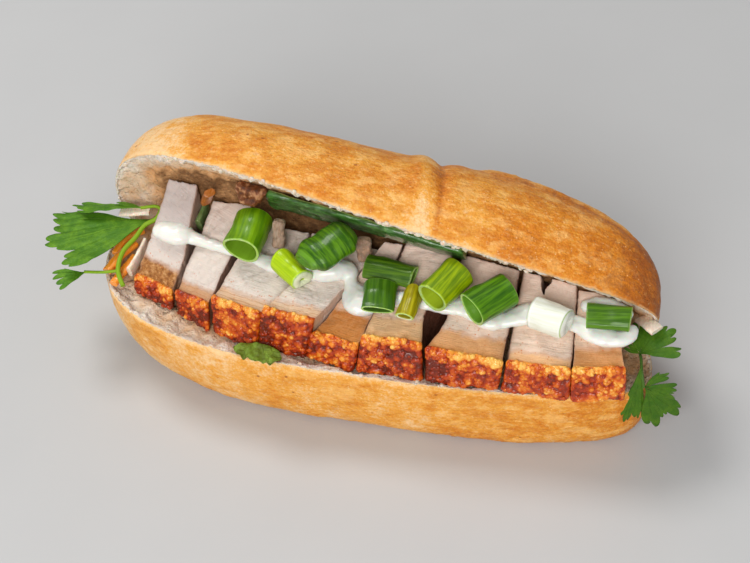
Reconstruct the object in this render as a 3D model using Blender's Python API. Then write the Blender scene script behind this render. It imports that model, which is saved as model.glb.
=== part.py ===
"""Crispy pork roll: a split bread roll held open by nine slices of roast pork belly, with a cucumber baton,
spring onion rings, a mayonnaise drizzle, coriander and pickled strips.

+X runs along the roll, -Y is the open side, +Z is up and the underside rests on Z = 0.
The origin is the centre of the flat underside. Every size below is in millimetres.
"""

import math

import bmesh
import bpy
from mathutils import Matrix, Vector, noise

MM = 0.001

# Bread roll, closed sizes.
ROLL_LENGTH = 200.0
HALF_WIDTH = 37.5
SIDE_TAPER_FRONT = -0.34
SIDE_TAPER_BACK = -0.07
CENTRE_BOW = 5.1
CENTRE_SKEW = -10.0
CUT_HEIGHT = 32.6
CUT_SLOPE = -2.8
BOTTOM_DEPTH = 52.5
FOOT_ROUND = 8.0
DOME_HEIGHT = 39.0
PLAN_POWER = 2.25
PROFILE_POWER = 3.05
SECTION_POWER = 2.5
# The knife cut and how far it is opened.
HINGE_Y = 14.75
HINGE_SLOPE = -8.4
OPENING_DEG = 71.0
OPENING_TAPER = -8.5
OPENING_EXTRA = 5.4
OPENING_SPREAD_DEG = 100.0
BOTTOM_HOLLOW = 5.5
TOP_HOLLOW = 6.0
# Relief of the crust.
CREASE_X = 14.0
CREASE_LEAN = 11.0
CREASE_WIDTH = 4.0
CREASE_DEPTH = 1.5
EAR_HEIGHT = 2.4
UNEVEN = 0.7
STATIONS = 38
OUTER_STEPS = 14
CUT_STEPS = 5

# Pork slices, from the left: the ten knife lines at the front and at the back of the slab.
KNIFE_FRONT = (-85.2, -67.5, -52.2, -34.0, -16.5, 1.9, 26.0, 51.8, 75.6, 93.4)
KNIFE_FRONT_Y = (-8.5, -14.3, -20.6, -25.4, -25.4, -28.2, -28.0, -27.6, -27.4, -24.0)
KNIFE_BACK = (-80.6, -64.0, -45.9, -16.9, -1.8, 7.6, 30.8, 49.7, 72.8, 85.4)
KNIFE_LEAN = (0.10, 0.0, 0.06, 0.167, 0.205, 0.15, 0.0, 0.14, 0.0, 0.0)
GAP_FRONT = (0.5, 1.6, 1.6, 0.5, 0.6, 0.6, 0.8, 1.3, 0.5, 0.5)
GAP_BACK = (0.5, 4.4, 3.0, 0.9, 0.9, 0.9, 3.2, 1.4, 0.6, 0.5)
GAP_BELLY = (0.0, -1.4, 0.0, 0.0, 0.0, 0.0, 5.6, 0.0, 0.0, 0.0)
BACK_Y = (24.0, 21.0, 12.0, 9.0, 9.0, 8.5, 8.0, 5.0, 1.0)
REST_Z = (33.2, 31.8, 30.6, 30.0, 31.0, 31.2, 31.4, 31.8, 31.6)
FRONT_TALL = (6.5, 10.0, 16.5, 19.5, 10.5, 15.5, 13.0, 12.0, 13.0)
BACK_RISE = (23.0, 14.5, 6.5, 4.0, 15.0, 11.0, 12.5, 12.5, 9.5)
RISE_POWER = 1.3
SLICE_TILT = (0.0, 1.2, 0.0, -1.2, 0.0, 0.0, -1.0, 0.0, 0.0)
SLICE_ROUND = 1.3
SLICE_ROOM = 1.2
SLICE_LIFT = 1.1
CRACKLE = 1.3

# Mayonnaise and leaves.
MAYO_CLEAR = 0.5
LEAF_THICK = 0.8


def clear_scene():
    for old in list(bpy.data.objects):
        bpy.data.objects.remove(old, do_unlink=True)


def material(name, colour, roughness=0.5):
    made = bpy.data.materials.new(name)
    made.use_nodes = True
    shader = made.node_tree.nodes["Principled BSDF"]
    shader.inputs["Base Color"].default_value = (*colour, 1.0)
    shader.inputs["Roughness"].default_value = roughness
    shader.inputs["Metallic"].default_value = 0.0
    return made


def smoothstep(x):
    x = min(max(x, 0.0), 1.0)
    return x * x * (3.0 - 2.0 * x)


def lerp(a, b, f):
    return a + (b - a) * f


def finish(bm, name, mat, location=(0.0, 0.0, 0.0), rotation=(0.0, 0.0, 0.0), merge=0.01):
    """Close, orient and place one solid whose points are in millimetres."""
    bmesh.ops.scale(bm, vec=(MM, MM, MM), verts=bm.verts)
    bmesh.ops.remove_doubles(bm, verts=bm.verts, dist=merge * MM)
    bmesh.ops.dissolve_degenerate(bm, edges=bm.edges, dist=0.002 * MM)
    bmesh.ops.triangulate(bm, faces=bm.faces)
    bmesh.ops.recalc_face_normals(bm, faces=bm.faces)
    if bm.calc_volume(signed=True) < 0.0:
        bmesh.ops.reverse_faces(bm, faces=bm.faces)
    data = bpy.data.meshes.new(name)
    bm.to_mesh(data)
    bm.free()
    data.materials.append(mat)
    obj = bpy.data.objects.new(name, data)
    obj.location = Vector(location) * MM
    obj.rotation_euler = rotation
    bpy.context.scene.collection.objects.link(obj)
    return obj


# ---------------------------------------------------------------- bread roll


def plan_factor(t):
    return max(1.0 - abs(t) ** PLAN_POWER, 0.0) ** (1.0 / PLAN_POWER)


def height_factor(t):
    return max(1.0 - abs(t) ** PROFILE_POWER, 0.0) ** (1.0 / PROFILE_POWER)


def centre_y(t):
    return CENTRE_BOW * (1.0 - t * t) + CENTRE_SKEW * t


def front_y(t):
    return centre_y(t) - HALF_WIDTH * plan_factor(t) * (1.0 + SIDE_TAPER_FRONT * t)


def back_y(t):
    return centre_y(t) + HALF_WIDTH * plan_factor(t) * (1.0 + SIDE_TAPER_BACK * t)


def cut_z(t):
    return CUT_HEIGHT + CUT_SLOPE * t


def hinge_y(t):
    return HINGE_Y + HINGE_SLOPE * t


def opening(t):
    return math.radians(OPENING_DEG + OPENING_TAPER * t + OPENING_EXTRA * t * t)


def settled(z):
    """Flatten what would lie under the resting plane, with a rounded foot."""
    if z > FOOT_ROUND:
        return z
    return (z + FOOT_ROUND) ** 2 / (4.0 * FOOT_ROUND) if z > -FOOT_ROUND else 0.0


def open_out(t, y, z, top, web):
    """Turn a point of the closed section at t about the end of the knife cut."""
    dy = y - hinge_y(t)
    dz = z - cut_z(t)
    around = math.degrees(math.atan2(abs(dz), dy)) * (1.0 if top else -1.0)
    share = smoothstep((around + OPENING_SPREAD_DEG) / (2.0 * OPENING_SPREAD_DEG))
    if not web:
        share = 1.0 if top else 0.0
    turn = opening(t) * share
    turned_y = hinge_y(t) + dy * math.cos(turn) + dz * math.sin(turn)
    turned_z = cut_z(t) - dy * math.sin(turn) + dz * math.cos(turn)
    return turned_y, max(turned_z, 0.0)


def relief(t, angle, top):
    """Height of the crust above the plain section: slow unevenness, the crease and the ear beside it."""
    x = t * ROLL_LENGTH / 2.0
    lift = UNEVEN * noise.noise(Vector((x / 24.0, 2.2 * angle, 5.0 if top else 9.0)))
    if top:
        off = (x - CREASE_X - CREASE_LEAN * math.cos(angle)) / CREASE_WIDTH
        side = math.sin(min(max(angle, 0.0), math.pi)) ** 0.35
        lift -= CREASE_DEPTH * math.exp(-off * off) * side
        lift += 0.5 * CREASE_DEPTH * math.exp(-((off + 2.2) ** 2)) * side
        along = smoothstep((x - CREASE_X - CREASE_LEAN - 2.0) / 10.0) * smoothstep((99.0 - x) / 16.0)
        across = (angle - 1.35) / 0.34
        lift += EAR_HEIGHT * along * math.exp(-across * across)
    return lift * plan_factor(t)


def outer_point(t, angle, top):
    """A crust point: angle 0 is the front edge of the cut and pi the back edge."""
    c = math.cos(angle)
    s = math.sin(angle)
    reach = abs(c) ** (2.0 / SECTION_POWER)
    tall = abs(s) ** (2.0 / SECTION_POWER)
    lift = relief(t, angle, top) * min(1.0, 3.0 * s)
    half = centre_y(t) - front_y(t) if c > 0.0 else back_y(t) - centre_y(t)
    y = centre_y(t) - math.copysign(1.0, c) * reach * (half + lift)
    if top:
        z = cut_z(t) + tall * (DOME_HEIGHT * height_factor(t) + lift)
    else:
        z = settled(cut_z(t) - tall * (BOTTOM_DEPTH * height_factor(t) + lift))
    return y, z


def cut_point(t, f, top, end_y):
    """A crumb point of the cut: f 0 is the front edge and 1 the inner end, hollowed between."""
    y = lerp(front_y(t), end_y, f)
    depth = TOP_HOLLOW if top else BOTTOM_HOLLOW
    sink = depth * plan_factor(t) * (math.sin(math.pi * f) ** 0.6 if 0.0 < f < 1.0 else 0.0)
    return y, cut_z(t) + (sink if top else -sink)


def station_list():
    spread = [math.sin(math.pi * (i / STATIONS - 0.5)) * 0.9990 for i in range(STATIONS + 1)]
    crease = (CREASE_X + 0.7 * CREASE_LEAN) / (ROLL_LENGTH / 2.0)
    width = CREASE_WIDTH / (ROLL_LENGTH / 2.0)
    kept = [t for t in spread if abs(t - crease) > 2.2 * width]
    return sorted(kept + [crease + k * width for k in (-1.9, -1.1, -0.5, 0.1, 0.7, 1.5)])


def has_web(t):
    return hinge_y(t) + 1.5 < back_y(t)


def roll_station(t):
    """The four borders of the opened section at t, as rows of points."""
    x = t * ROLL_LENGTH / 2.0
    web = has_web(t)
    end_y = hinge_y(t) if web else back_y(t)
    rows = {}
    for top in (False, True):
        outer = [outer_point(t, math.pi * i / OUTER_STEPS, top) for i in range(OUTER_STEPS + 1)]
        cut = [cut_point(t, i / CUT_STEPS, top, end_y) for i in range(CUT_STEPS + 1)]
        if not web:
            cut[-1] = outer[-1]
        side = "top" if top else "bottom"
        rows[side, "outer"] = [Vector((x, *open_out(t, *p, top, web))) for p in outer]
        rows[side, "cut"] = [Vector((x, *open_out(t, *p, top, web))) for p in cut]
    if web:
        shared = rows["bottom", "outer"][-1]
        rows["top", "outer"][-1] = shared
        hinge = Vector((x, hinge_y(t), cut_z(t)))
        rows["bottom", "cut"][-1] = hinge
        rows["top", "cut"][-1] = hinge
    return web, rows


def build_roll(mat):
    bm = bmesh.new()
    stations = [roll_station(t) for t in station_list()]

    def face(*points):
        bm.faces.new([bm.verts.new(p) for p in points])

    for (web_a, a), (web_b, b) in zip(stations, stations[1:]):
        for side in ("bottom", "top"):
            for kind in ("outer", "cut"):
                flip = (side == "top") != (kind == "cut")
                for i in range(len(a[side, kind]) - 1):
                    quad = [a[side, kind][i], a[side, kind][i + 1], b[side, kind][i + 1], b[side, kind][i]]
                    face(*(reversed(quad) if flip else quad))
        if web_a != web_b:
            # The web of bread behind the knife cut ends here, between the two halves.
            whole, split = (a, b) if web_a else (b, a)
            hinge = whole["bottom", "cut"][-1]
            spine = whole["bottom", "outer"][-1]
            low = split["bottom", "outer"][-1]
            high = split["top", "outer"][-1]
            for wing in ((hinge, low, spine), (hinge, spine, high)):
                face(*(wing if web_a else reversed(wing)))
    for index in (0, -1):
        rows = stations[index][1]
        for side in ("bottom", "top"):
            rim = rows[side, "outer"] + rows[side, "cut"][-2:0:-1]
            middle = sum(rim, Vector()) / len(rim)
            for p, q in zip(rim, rim[1:] + rim[:1]):
                flip = (index == 0) != (side == "top")
                face(*((middle, q, p) if flip else (middle, p, q)))
    return finish(bm, "bread_roll", mat)


# ---------------------------------------------------------------- pork slices


def rounded(p, half, radius):
    """Pull a point of a box in to a box with rounded edges."""
    inner = Vector([min(max(c, radius - h), h - radius) for c, h in zip(p, half)])
    away = p - inner
    if away.length < 1e-9:
        return p
    return inner + away.normalized() * min(radius, away.length)


def box_grid(counts, shape):
    """A closed box surface of counts cells a side, with shape(u, v, w) giving each point."""
    bm = bmesh.new()
    made = {}

    def vert(i, j, k):
        if (i, j, k) not in made:
            made[i, j, k] = bm.verts.new(shape(i / counts[0], j / counts[1], k / counts[2]))
        return made[i, j, k]

    for axis in range(3):
        a, b = [n for n in range(3) if n != axis]
        for end in (0, counts[axis]):
            for i in range(counts[a]):
                for j in range(counts[b]):
                    corners = []
                    for da, db in ((0, 0), (1, 0), (1, 1), (0, 1)):
                        cell = [0, 0, 0]
                        cell[axis] = end
                        cell[a] = i + da
                        cell[b] = j + db
                        corners.append(vert(*cell))
                    bm.faces.new(corners)
    return bm


def wall_y(x, z):
    """How far back the open mouth reaches at this place: the Y of the top half's crumb at height z."""
    t = x / (ROLL_LENGTH / 2.0)
    end_y = hinge_y(t) if has_web(t) else back_y(t)
    steps = 24
    last = (end_y, cut_z(t))
    for i in range(1, steps + 1):
        now = open_out(t, *cut_point(t, 1.0 - i / steps, True, end_y), True, has_web(t))
        if now[1] >= z > last[1]:
            return lerp(last[0], now[0], (z - last[1]) / (now[1] - last[1]))
        last = now
    return last[0] if z > last[1] else end_y


def floor_z(x, y):
    """Height of the bottom half's crumb here, or of its rim in front of it."""
    t = x / (ROLL_LENGTH / 2.0)
    end_y = hinge_y(t) if has_web(t) else back_y(t)
    f = (y - front_y(t)) / (end_y - front_y(t))
    return cut_point(t, min(max(f, 0.0), 1.0), False, end_y)[1]


def knife_line(line, v, high):
    """X of one knife line and half its gap: v runs from the rind to the back, high is above the slice's underside."""
    x = lerp(KNIFE_FRONT[line], KNIFE_BACK[line], v) + KNIFE_LEAN[line] * high
    belly = GAP_BELLY[line] * math.exp(-(((v - 0.35) / 0.2) ** 2))
    return x, (lerp(GAP_FRONT[line], GAP_BACK[line], v) + belly) / 2.0


def build_slice(index, mat):
    """One slice: rind to the front, lean to the back, between two knife lines."""
    seed = 11.0 * index
    middle = Vector((
        (KNIFE_FRONT[index] + KNIFE_FRONT[index + 1] + KNIFE_BACK[index] + KNIFE_BACK[index + 1]) / 4.0,
        (KNIFE_FRONT_Y[index] + KNIFE_FRONT_Y[index + 1] + 2.0 * BACK_Y[index]) / 4.0,
        REST_Z[index],
    ))

    def shape(u, v, w):
        v = v ** 1.3
        tall = FRONT_TALL[index] + BACK_RISE[index] * v ** RISE_POWER
        left = sum(knife_line(index, v, w * tall))
        x, room = knife_line(index + 1, v, w * tall)
        right = x - room
        near = lerp(KNIFE_FRONT_Y[index], KNIFE_FRONT_Y[index + 1], u)
        width = right - left
        deep = BACK_Y[index] - near
        half = Vector((width / 2.0, deep / 2.0, tall / 2.0))
        p = Vector(((u - 0.5) * width, (v - 0.5) * deep, (w - 0.5) * tall))
        p = rounded(p, half, SLICE_ROUND)
        if v < 1e-6:
            edge = min(u, 1.0 - u, w, 1.0 - w)
            bump = noise.noise(Vector((p.x / 2.9 + seed, seed, p.z / 2.7)))
            p.y += 1.5 * (w - 0.5) - CRACKLE * (0.35 + bump) * (0.4 + min(edge * 5.0, 0.6))
        p.z += SLICE_TILT[index] * (2.0 * u - 1.0) * w
        if w > 0.999 and 0.0 < u < 1.0:
            p.z += 0.5 * noise.noise(Vector((p.x / 6.0, p.y / 5.0, seed)))
        place = Vector(((left + right) / 2.0, near + deep / 2.0, REST_Z[index] + tall / 2.0)) + p
        behind = wall_y(place.x, max(place.z, REST_Z[index] + 3.0)) - SLICE_ROOM
        place.y += min(behind - BACK_Y[index], 0.0) * smoothstep(v * 1.05)
        place.z = max(place.z, floor_z(place.x, place.y) + SLICE_LIFT)
        return place - middle

    return finish(box_grid((6, 4, 4), shape), "pork_slice_%d" % (index + 1), mat, middle)


def build_lump(name, mat, size, location, rotation, seed, counts=(4, 3, 3), rough=0.9):
    """A loose uneven piece, as a rounded box with worn faces."""
    half = Vector(size) / 2.0

    def shape(u, v, w):
        p = Vector(((u - 0.5) * size[0], (v - 0.5) * size[1], (w - 0.5) * size[2]))
        p = rounded(p, half, 0.42 * min(size))
        wear = noise.noise(Vector((p.x / 5.0 + seed, p.y / 5.0, p.z / 5.0)))
        return p * (1.0 + rough * 0.12 * wear)

    return finish(box_grid(counts, shape), name, mat, location, rotation)


# ---------------------------------------------------------------- swept solids


def sweep(centres, sections, closed_tube=False):
    """Join cross-section rings along a path; closed_tube takes (outer, inner) pairs of a hollow tube."""
    bm = bmesh.new()

    def skin(rings, flip):
        rows = [[bm.verts.new(p) for p in ring] for ring in rings]
        for a, b in zip(rows, rows[1:]):
            for i in range(len(a)):
                j = (i + 1) % len(a)
                quad = [a[i], a[j], b[j], b[i]]
                bm.faces.new(reversed(quad) if flip else quad)
        return rows

    if closed_tube:
        outer = skin([s[0] for s in sections], False)
        inner = skin([s[1] for s in sections], True)
        for rim_o, rim_i, flip in ((outer[0], inner[0], True), (outer[-1], inner[-1], False)):
            for i in range(len(rim_o)):
                j = (i + 1) % len(rim_o)
                quad = [rim_o[i], rim_o[j], rim_i[j], rim_i[i]]
                bm.faces.new(reversed(quad) if flip else quad)
        return bm
    rows = skin(sections, False)
    for ring, centre, flip in ((rows[0], centres[0], True), (rows[-1], centres[-1], False)):
        hub = bm.verts.new(centre)
        for i in range(len(ring)):
            j = (i + 1) % len(ring)
            tri = [ring[i], ring[j], hub]
            bm.faces.new(reversed(tri) if flip else tri)
    return bm


def build_onion(name, mat, length, across, tall, location, yaw, pitch, roll, wall, turns=14, steps=2):
    """A cut length of hollow spring onion leaf along its own X axis, squashed to across by tall."""
    rings = []
    for s in range(steps + 1):
        f = s / steps
        x = (f - 0.5) * length
        pair = []
        for thin in (0.0, wall):
            ring = []
            for i in range(turns):
                a = 2.0 * math.pi * i / turns
                wave = 1.0 + 0.05 * math.sin(3.0 * a + 1.3 * length)
                y = (across / 2.0 - thin) * math.cos(a) * wave
                z = (tall / 2.0 - thin) * math.sin(a) * wave
                ring.append(Vector((x, y, z)))
            pair.append(ring)
        rings.append(pair)
    bm = sweep(None, rings, closed_tube=True)
    turn = tuple(math.radians(d) for d in (roll, pitch, yaw))
    return finish(bm, name, mat, location, turn)


def frames_along(points):
    """Path points with level sideways directions."""
    made = []
    for i, p in enumerate(points):
        ahead = points[min(i + 1, len(points) - 1)] - points[max(i - 1, 0)]
        side = ahead.cross(Vector((0.0, 0.0, 1.0))).normalized()
        made.append((p, side, side.cross(ahead).normalized()))
    return made


def catmull(knots, per_span):
    """A smooth path through the knots; each knot is (x, y, z, width, height)."""
    padded = [knots[0]] + list(knots) + [knots[-1]]
    path = []
    for a, b, c, d in zip(padded, padded[1:], padded[2:], padded[3:]):
        for s in range(per_span):
            f = s / per_span
            ff = f * f
            fff = ff * f
            weights = (2 * ff - f - fff, 2 - 5 * ff + 3 * fff, f + 4 * ff - 3 * fff, fff - ff)
            path.append(tuple(sum(w * k for w, k in zip(weights, four)) / 2.0 for four in zip(a, b, c, d)))
    path.append(tuple(knots[-1]))
    return path


def ribbon(knots, per_span=3, turns=8):
    """A rounded strand through the knots, with its ends drawn in."""
    path = catmull(knots, per_span)
    frames = frames_along([Vector(p[:3]) for p in path])
    rings = []
    for n, ((p, side, up), (_, _, _, wide, high)) in enumerate(zip(frames, path)):
        nib = 0.45 if n in (0, len(path) - 1) else 1.0
        ring = []
        for i in range(turns):
            a = 2.0 * math.pi * i / turns
            ring.append(p + side * (wide / 2.0 * nib * math.cos(a)) + up * (high / 2.0 * nib * math.sin(a)))
        rings.append(ring)
    return sweep([f[0] for f in frames], rings)


# ---------------------------------------------------------------- leaves


def lobed(angle, lobes, depth, teeth, bite):
    """Edge distance of a lobed leaf, 1 at the lobe tips."""
    main = abs(math.sin(lobes * angle / 2.0)) ** 0.8
    fine = abs(math.sin(teeth * angle / 2.0)) ** 0.9
    return 1.0 - depth * (1.0 - main) - bite * (1.0 - fine)


def leaf_mesh(length, width, lobes, teeth, around, depth=0.42, bite=0.16, wave=2.0, seed=0.0):
    """A thin wavy leaf fan from its stalk at the origin towards +X, both faces split alike."""
    bm = bmesh.new()
    levels = (0.0, 0.55, 1.0)
    hub_x = 0.30 * length
    grids = []
    for sign in (1.0, -1.0):
        rows = []
        for level in levels:
            row = []
            for i in range(around):
                a = 2.0 * math.pi * i / around
                reach = lobed(a + math.pi, lobes, depth * level, teeth, bite * level)
                x = hub_x + level * reach * math.cos(a) * (length - hub_x if math.cos(a) > 0 else hub_x)
                y = level * reach * math.sin(a) * width / 2.0
                bulge = noise.noise(Vector((x / 9.0 + seed, y / 9.0, seed)))
                z = wave * bulge + 0.35 * wave * math.sin(4.0 * a + seed) * level ** 2
                row.append(bm.verts.new((x, y, z + sign * LEAF_THICK / 2.0)))
                if level == 0.0:
                    break
            rows.append(row)
        grids.append(rows)
        for a, b in zip(rows, rows[1:]):
            for i in range(around):
                j = (i + 1) % around
                if len(a) == 1:
                    tri = [a[0], b[i], b[j]]
                    bm.faces.new(tri if sign > 0 else reversed(tri))
                    continue
                for tri in ([a[i], b[i], b[j]], [a[i], b[j], a[j]]):
                    bm.faces.new(tri if sign > 0 else reversed(tri))
    upper, lower = grids[0][-1], grids[1][-1]
    for i in range(around):
        j = (i + 1) % around
        for tri in ([upper[i], lower[i], lower[j]], [upper[i], lower[j], upper[j]]):
            bm.faces.new(tri)
    return bm


def placed(bm, location, rotation):
    """A helper object in millimetre units, turned and moved into place before a union."""
    turn = Matrix.Translation(Vector(location)) @ rotation_matrix(rotation)
    bmesh.ops.transform(bm, matrix=turn, verts=bm.verts)
    return bm


def rotation_matrix(degrees):
    x, y, z = (math.radians(d) for d in degrees)
    return Matrix.Rotation(z, 4, "Z") @ Matrix.Rotation(y, 4, "Y") @ Matrix.Rotation(x, 4, "X")


def helper(bm, name):
    bmesh.ops.scale(bm, vec=(MM, MM, MM), verts=bm.verts)
    bmesh.ops.triangulate(bm, faces=bm.faces)
    bmesh.ops.recalc_face_normals(bm, faces=bm.faces)
    if bm.calc_volume(signed=True) < 0.0:
        bmesh.ops.reverse_faces(bm, faces=bm.faces)
    data = bpy.data.meshes.new(name)
    bm.to_mesh(data)
    bm.free()
    obj = bpy.data.objects.new(name, data)
    bpy.context.scene.collection.objects.link(obj)
    return obj


def largest_body(bm):
    """Drop every loose body except the largest."""
    bm.faces.ensure_lookup_table()
    seen = set()
    bodies = []
    for start in bm.faces:
        if start.index in seen:
            continue
        stack = [start]
        body = []
        seen.add(start.index)
        while stack:
            one = stack.pop()
            body.append(one)
            for edge in one.edges:
                for near in edge.link_faces:
                    if near.index not in seen:
                        seen.add(near.index)
                        stack.append(near)
        bodies.append(body)
    bodies.sort(key=lambda body: -sum(f.calc_area() for f in body))
    for body in bodies[1:]:
        bmesh.ops.delete(bm, geom=body, context="FACES")
    loose = [v for v in bm.verts if not v.link_faces]
    bmesh.ops.delete(bm, geom=loose, context="VERTS")


def combine(name, mat, base, others, operation, plain_deg=0.0):
    """Union or difference of base with the other solids, applied, with the helpers then removed."""
    group = bpy.data.collections.new(name + "_helpers")
    bpy.context.scene.collection.children.link(group)
    for other in others:
        bpy.context.scene.collection.objects.unlink(other)
        group.objects.link(other)
    modifier = base.modifiers.new("join", "BOOLEAN")
    modifier.operation = operation
    modifier.operand_type = "COLLECTION"
    modifier.collection = group
    modifier.solver = "MANIFOLD"
    bpy.context.view_layer.update()
    graph = bpy.context.evaluated_depsgraph_get()
    data = bpy.data.meshes.new_from_object(base.evaluated_get(graph))
    for other in others:
        bpy.data.objects.remove(other, do_unlink=True)
    bpy.data.collections.remove(group)
    bpy.data.objects.remove(base, do_unlink=True)
    bm = bmesh.new()
    bm.from_mesh(data)
    bmesh.ops.remove_doubles(bm, verts=bm.verts, dist=0.02 * MM)
    bmesh.ops.dissolve_degenerate(bm, edges=bm.edges, dist=0.01 * MM)
    if plain_deg:
        bmesh.ops.dissolve_limit(bm, angle_limit=math.radians(plain_deg), verts=bm.verts, edges=bm.edges)
    bmesh.ops.triangulate(bm, faces=bm.faces)
    largest_body(bm)
    middle = sum((v.co for v in bm.verts), Vector()) / len(bm.verts)
    bmesh.ops.translate(bm, vec=-middle, verts=bm.verts)
    bmesh.ops.scale(bm, vec=(1.0 / MM, 1.0 / MM, 1.0 / MM), verts=bm.verts)
    return finish(bm, name, mat, middle / MM)


def swollen(obj, clear):
    """A helper copy of a placed solid grown by clear on every side, to cut room for it."""
    bm = bmesh.new()
    bm.from_mesh(obj.data)
    bpy.context.view_layer.update()
    bmesh.ops.transform(bm, matrix=obj.matrix_world, verts=bm.verts)
    bm.normal_update()
    moves = [(v, v.normal * clear * v.calc_shell_factor() * MM) for v in bm.verts]
    for v, move in moves:
        v.co += move
    data = bpy.data.meshes.new(obj.name + "_room")
    bm.to_mesh(data)
    bm.free()
    room = bpy.data.objects.new(obj.name + "_room", data)
    bpy.context.scene.collection.objects.link(room)
    return room


# ---------------------------------------------------------------- assembly


# Spring onion pieces: length, width, height, centre, yaw, pitch, roll, wall, material key.
ONIONS = (
    (13.8, 13.4, 12.6, (-41.8, 0.6, 59.4), -94.0, 6.0, 0.0, 1.3, "green"),
    (12.0, 8.4, 7.8, (-24.0, -9.4, 55.7), -38.0, 4.0, 0.0, 3.1, "yellow"),
    (17.2, 15.6, 10.2, (-11.5, -5.2, 64.6), 50.0, -7.0, -14.0, 1.2, "dark"),
    (17.0, 9.0, 5.0, (9.6, -4.4, 56.4), -8.0, 0.0, 16.0, 1.0, "dark"),
    (11.0, 11.4, 7.0, (8.4, -16.0, 54.9), -84.0, 2.0, 0.0, 1.1, "dark"),
    (12.2, 6.6, 6.0, (19.3, -16.5, 54.6), -93.0, 0.0, 0.0, 1.2, "yellow"),
    (14.2, 11.4, 11.2, (30.3, -9.7, 58.7), 63.0, -4.0, 0.0, 1.3, "green"),
    (14.4, 12.6, 11.4, (45.8, -12.0, 57.0), 45.0, -4.0, 0.0, 1.3, "green"),
    (11.0, 11.0, 9.6, (66.4, -14.8, 55.6), -15.0, 0.0, 0.0, 2.4, "white"),
    (14.0, 9.0, 6.0, (85.0, -10.6, 55.0), 4.0, 0.0, 8.0, 1.1, "green"),
)

# Mayonnaise strand: x, y, width, height above the pork.
MAYO_RUN = (
    (-75.6, 4.5, 8.6, 5.6), (-70.0, 2.8, 9.0, 5.8), (-62.0, 0.5, 4.8, 4.0), (-50.0, -1.5, 5.2, 4.0),
    (-40.0, -3.0, 5.8, 4.0), (-31.0, -4.5, 6.6, 4.2), (-19.0, -8.0, 8.0, 6.5), (-10.0, -6.0, 9.0, 9.0),
    (-2.0, -9.5, 9.5, 5.4), (1.6, -14.2, 11.5, 6.4), (12.0, -12.0, 8.0, 4.4), (22.0, -11.0, 7.0, 4.2),
    (34.0, -13.5, 8.0, 4.4), (43.0, -15.5, 9.5, 4.8), (52.0, -13.0, 8.0, 4.4), (60.0, -9.0, 7.0, 4.4),
    (69.0, -11.0, 8.0, 4.4), (79.0, -14.0, 9.5, 5.0), (87.0, -15.5, 7.0, 4.6),
    (92.2, -11.7, 5.4, 4.4), (89.0, -5.0, 5.4, 4.4), (81.5, -3.2, 6.2, 4.8),
)

# Coriander: leaves are length, width, stalk end, turn in degrees, lobes and seed; stalks are knots and width.
LEFT_LEAVES = (
    (34.0, 32.0, (-86.5, 1.6, 45.6), (8.0, -2.0, 180.0), 5, 1.7),
    (12.0, 12.0, (-100.5, -9.2, 38.8), (-12.0, 4.0, 190.0), 3, 4.1),
    (24.0, 8.0, (-87.0, 11.5, 52.2), (24.0, 4.0, 176.0), 3, 6.4),
)
LEFT_STALKS = (
    (((-82, 11.5, 51.5), (-86, 5, 47), (-90, -3, 43.5), (-91, -9, 40.5), (-90, -12.5, 38)), 2.0),
    (((-90.0, -3.0, 43.4), (-95.0, -7.5, 40.5), (-101.5, -9.2, 38.8)), 1.6),
    (((-83.2, 9.6, 50.4), (-85.0, 11.0, 51.6), (-89.0, 11.5, 52.0)), 1.6),
)
RIGHT_LEAVES = (
    (15.5, 17.0, (95.2, -9.6, 39.4), (26.0, -4.0, 24.0), 5, 2.9),
    (20.0, 18.0, (99.8, -15.4, 32.6), (0.0, 62.0, -34.0), 5, 5.3),
)
RIGHT_STALKS = (
    (((95.6, -4.0, 34.4), (95.4, -9.4, 39.0), (97.6, -13.4, 37.4), (100.8, -16.0, 31.6)), 1.9),
)

# Pickled strips: name, knots of the middle line, width and height.
STRIPS = (
    ("carrot_strip_1", ((-95.5, -6.5, 38.5), (-93.0, 1.0, 39.5), (-89.5, 8.0, 40.0)), 3.4, 2.4),
    ("carrot_strip_2", ((-91.5, -11.0, 37.4), (-89.6, -4.5, 38.0), (-87.6, 2.5, 38.6)), 3.2, 2.4),
    ("carrot_strip_3", ((-96.0, 3.0, 38.0), (-94.0, 10.0, 39.4), (-89.0, 15.0, 40.0)), 3.0, 2.4),
    ("carrot_strip_4", ((-63.4, 17.0, 56.4), (-61.8, 15.6, 60.2), (-59.6, 13.4, 64.6)), 4.0, 2.6),
    ("cucumber_strip_1", ((-65.4, 12.5, 48.4), (-65.2, 16.5, 49.4), (-65.0, 20.5, 50.2)), 2.2, 7.0),
    ("radish_strip_1", ((-97.0, 16.5, 46.5), (-91.0, 16.5, 47.6), (-85.5, 17.0, 48.6)), 5.0, 1.6),
    ("radish_strip_2", ((-86.9, -6.0, 39.0), (-85.7, 1.0, 40.2), (-85.3, 8.0, 41.0)), 1.8, 5.0),
    ("radish_strip_3", ((94.5, 1.5, 44.0), (97.5, -2.5, 46.0), (100.5, -5.0, 46.0)), 5.5, 1.6),
)


def pork_top(x, y):
    """Height of the pork slab's top at this place."""
    for i in range(len(BACK_Y)):
        near = (KNIFE_FRONT_Y[i] + KNIFE_FRONT_Y[i + 1]) / 2.0
        v = (y - near) / (BACK_Y[i] - near)
        tall = FRONT_TALL[i] + BACK_RISE[i] * min(max(v, 0.0), 1.0) ** RISE_POWER
        if x <= knife_line(i + 1, v, tall)[0] or i == len(BACK_Y) - 1:
            return REST_Z[i] + tall


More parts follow.
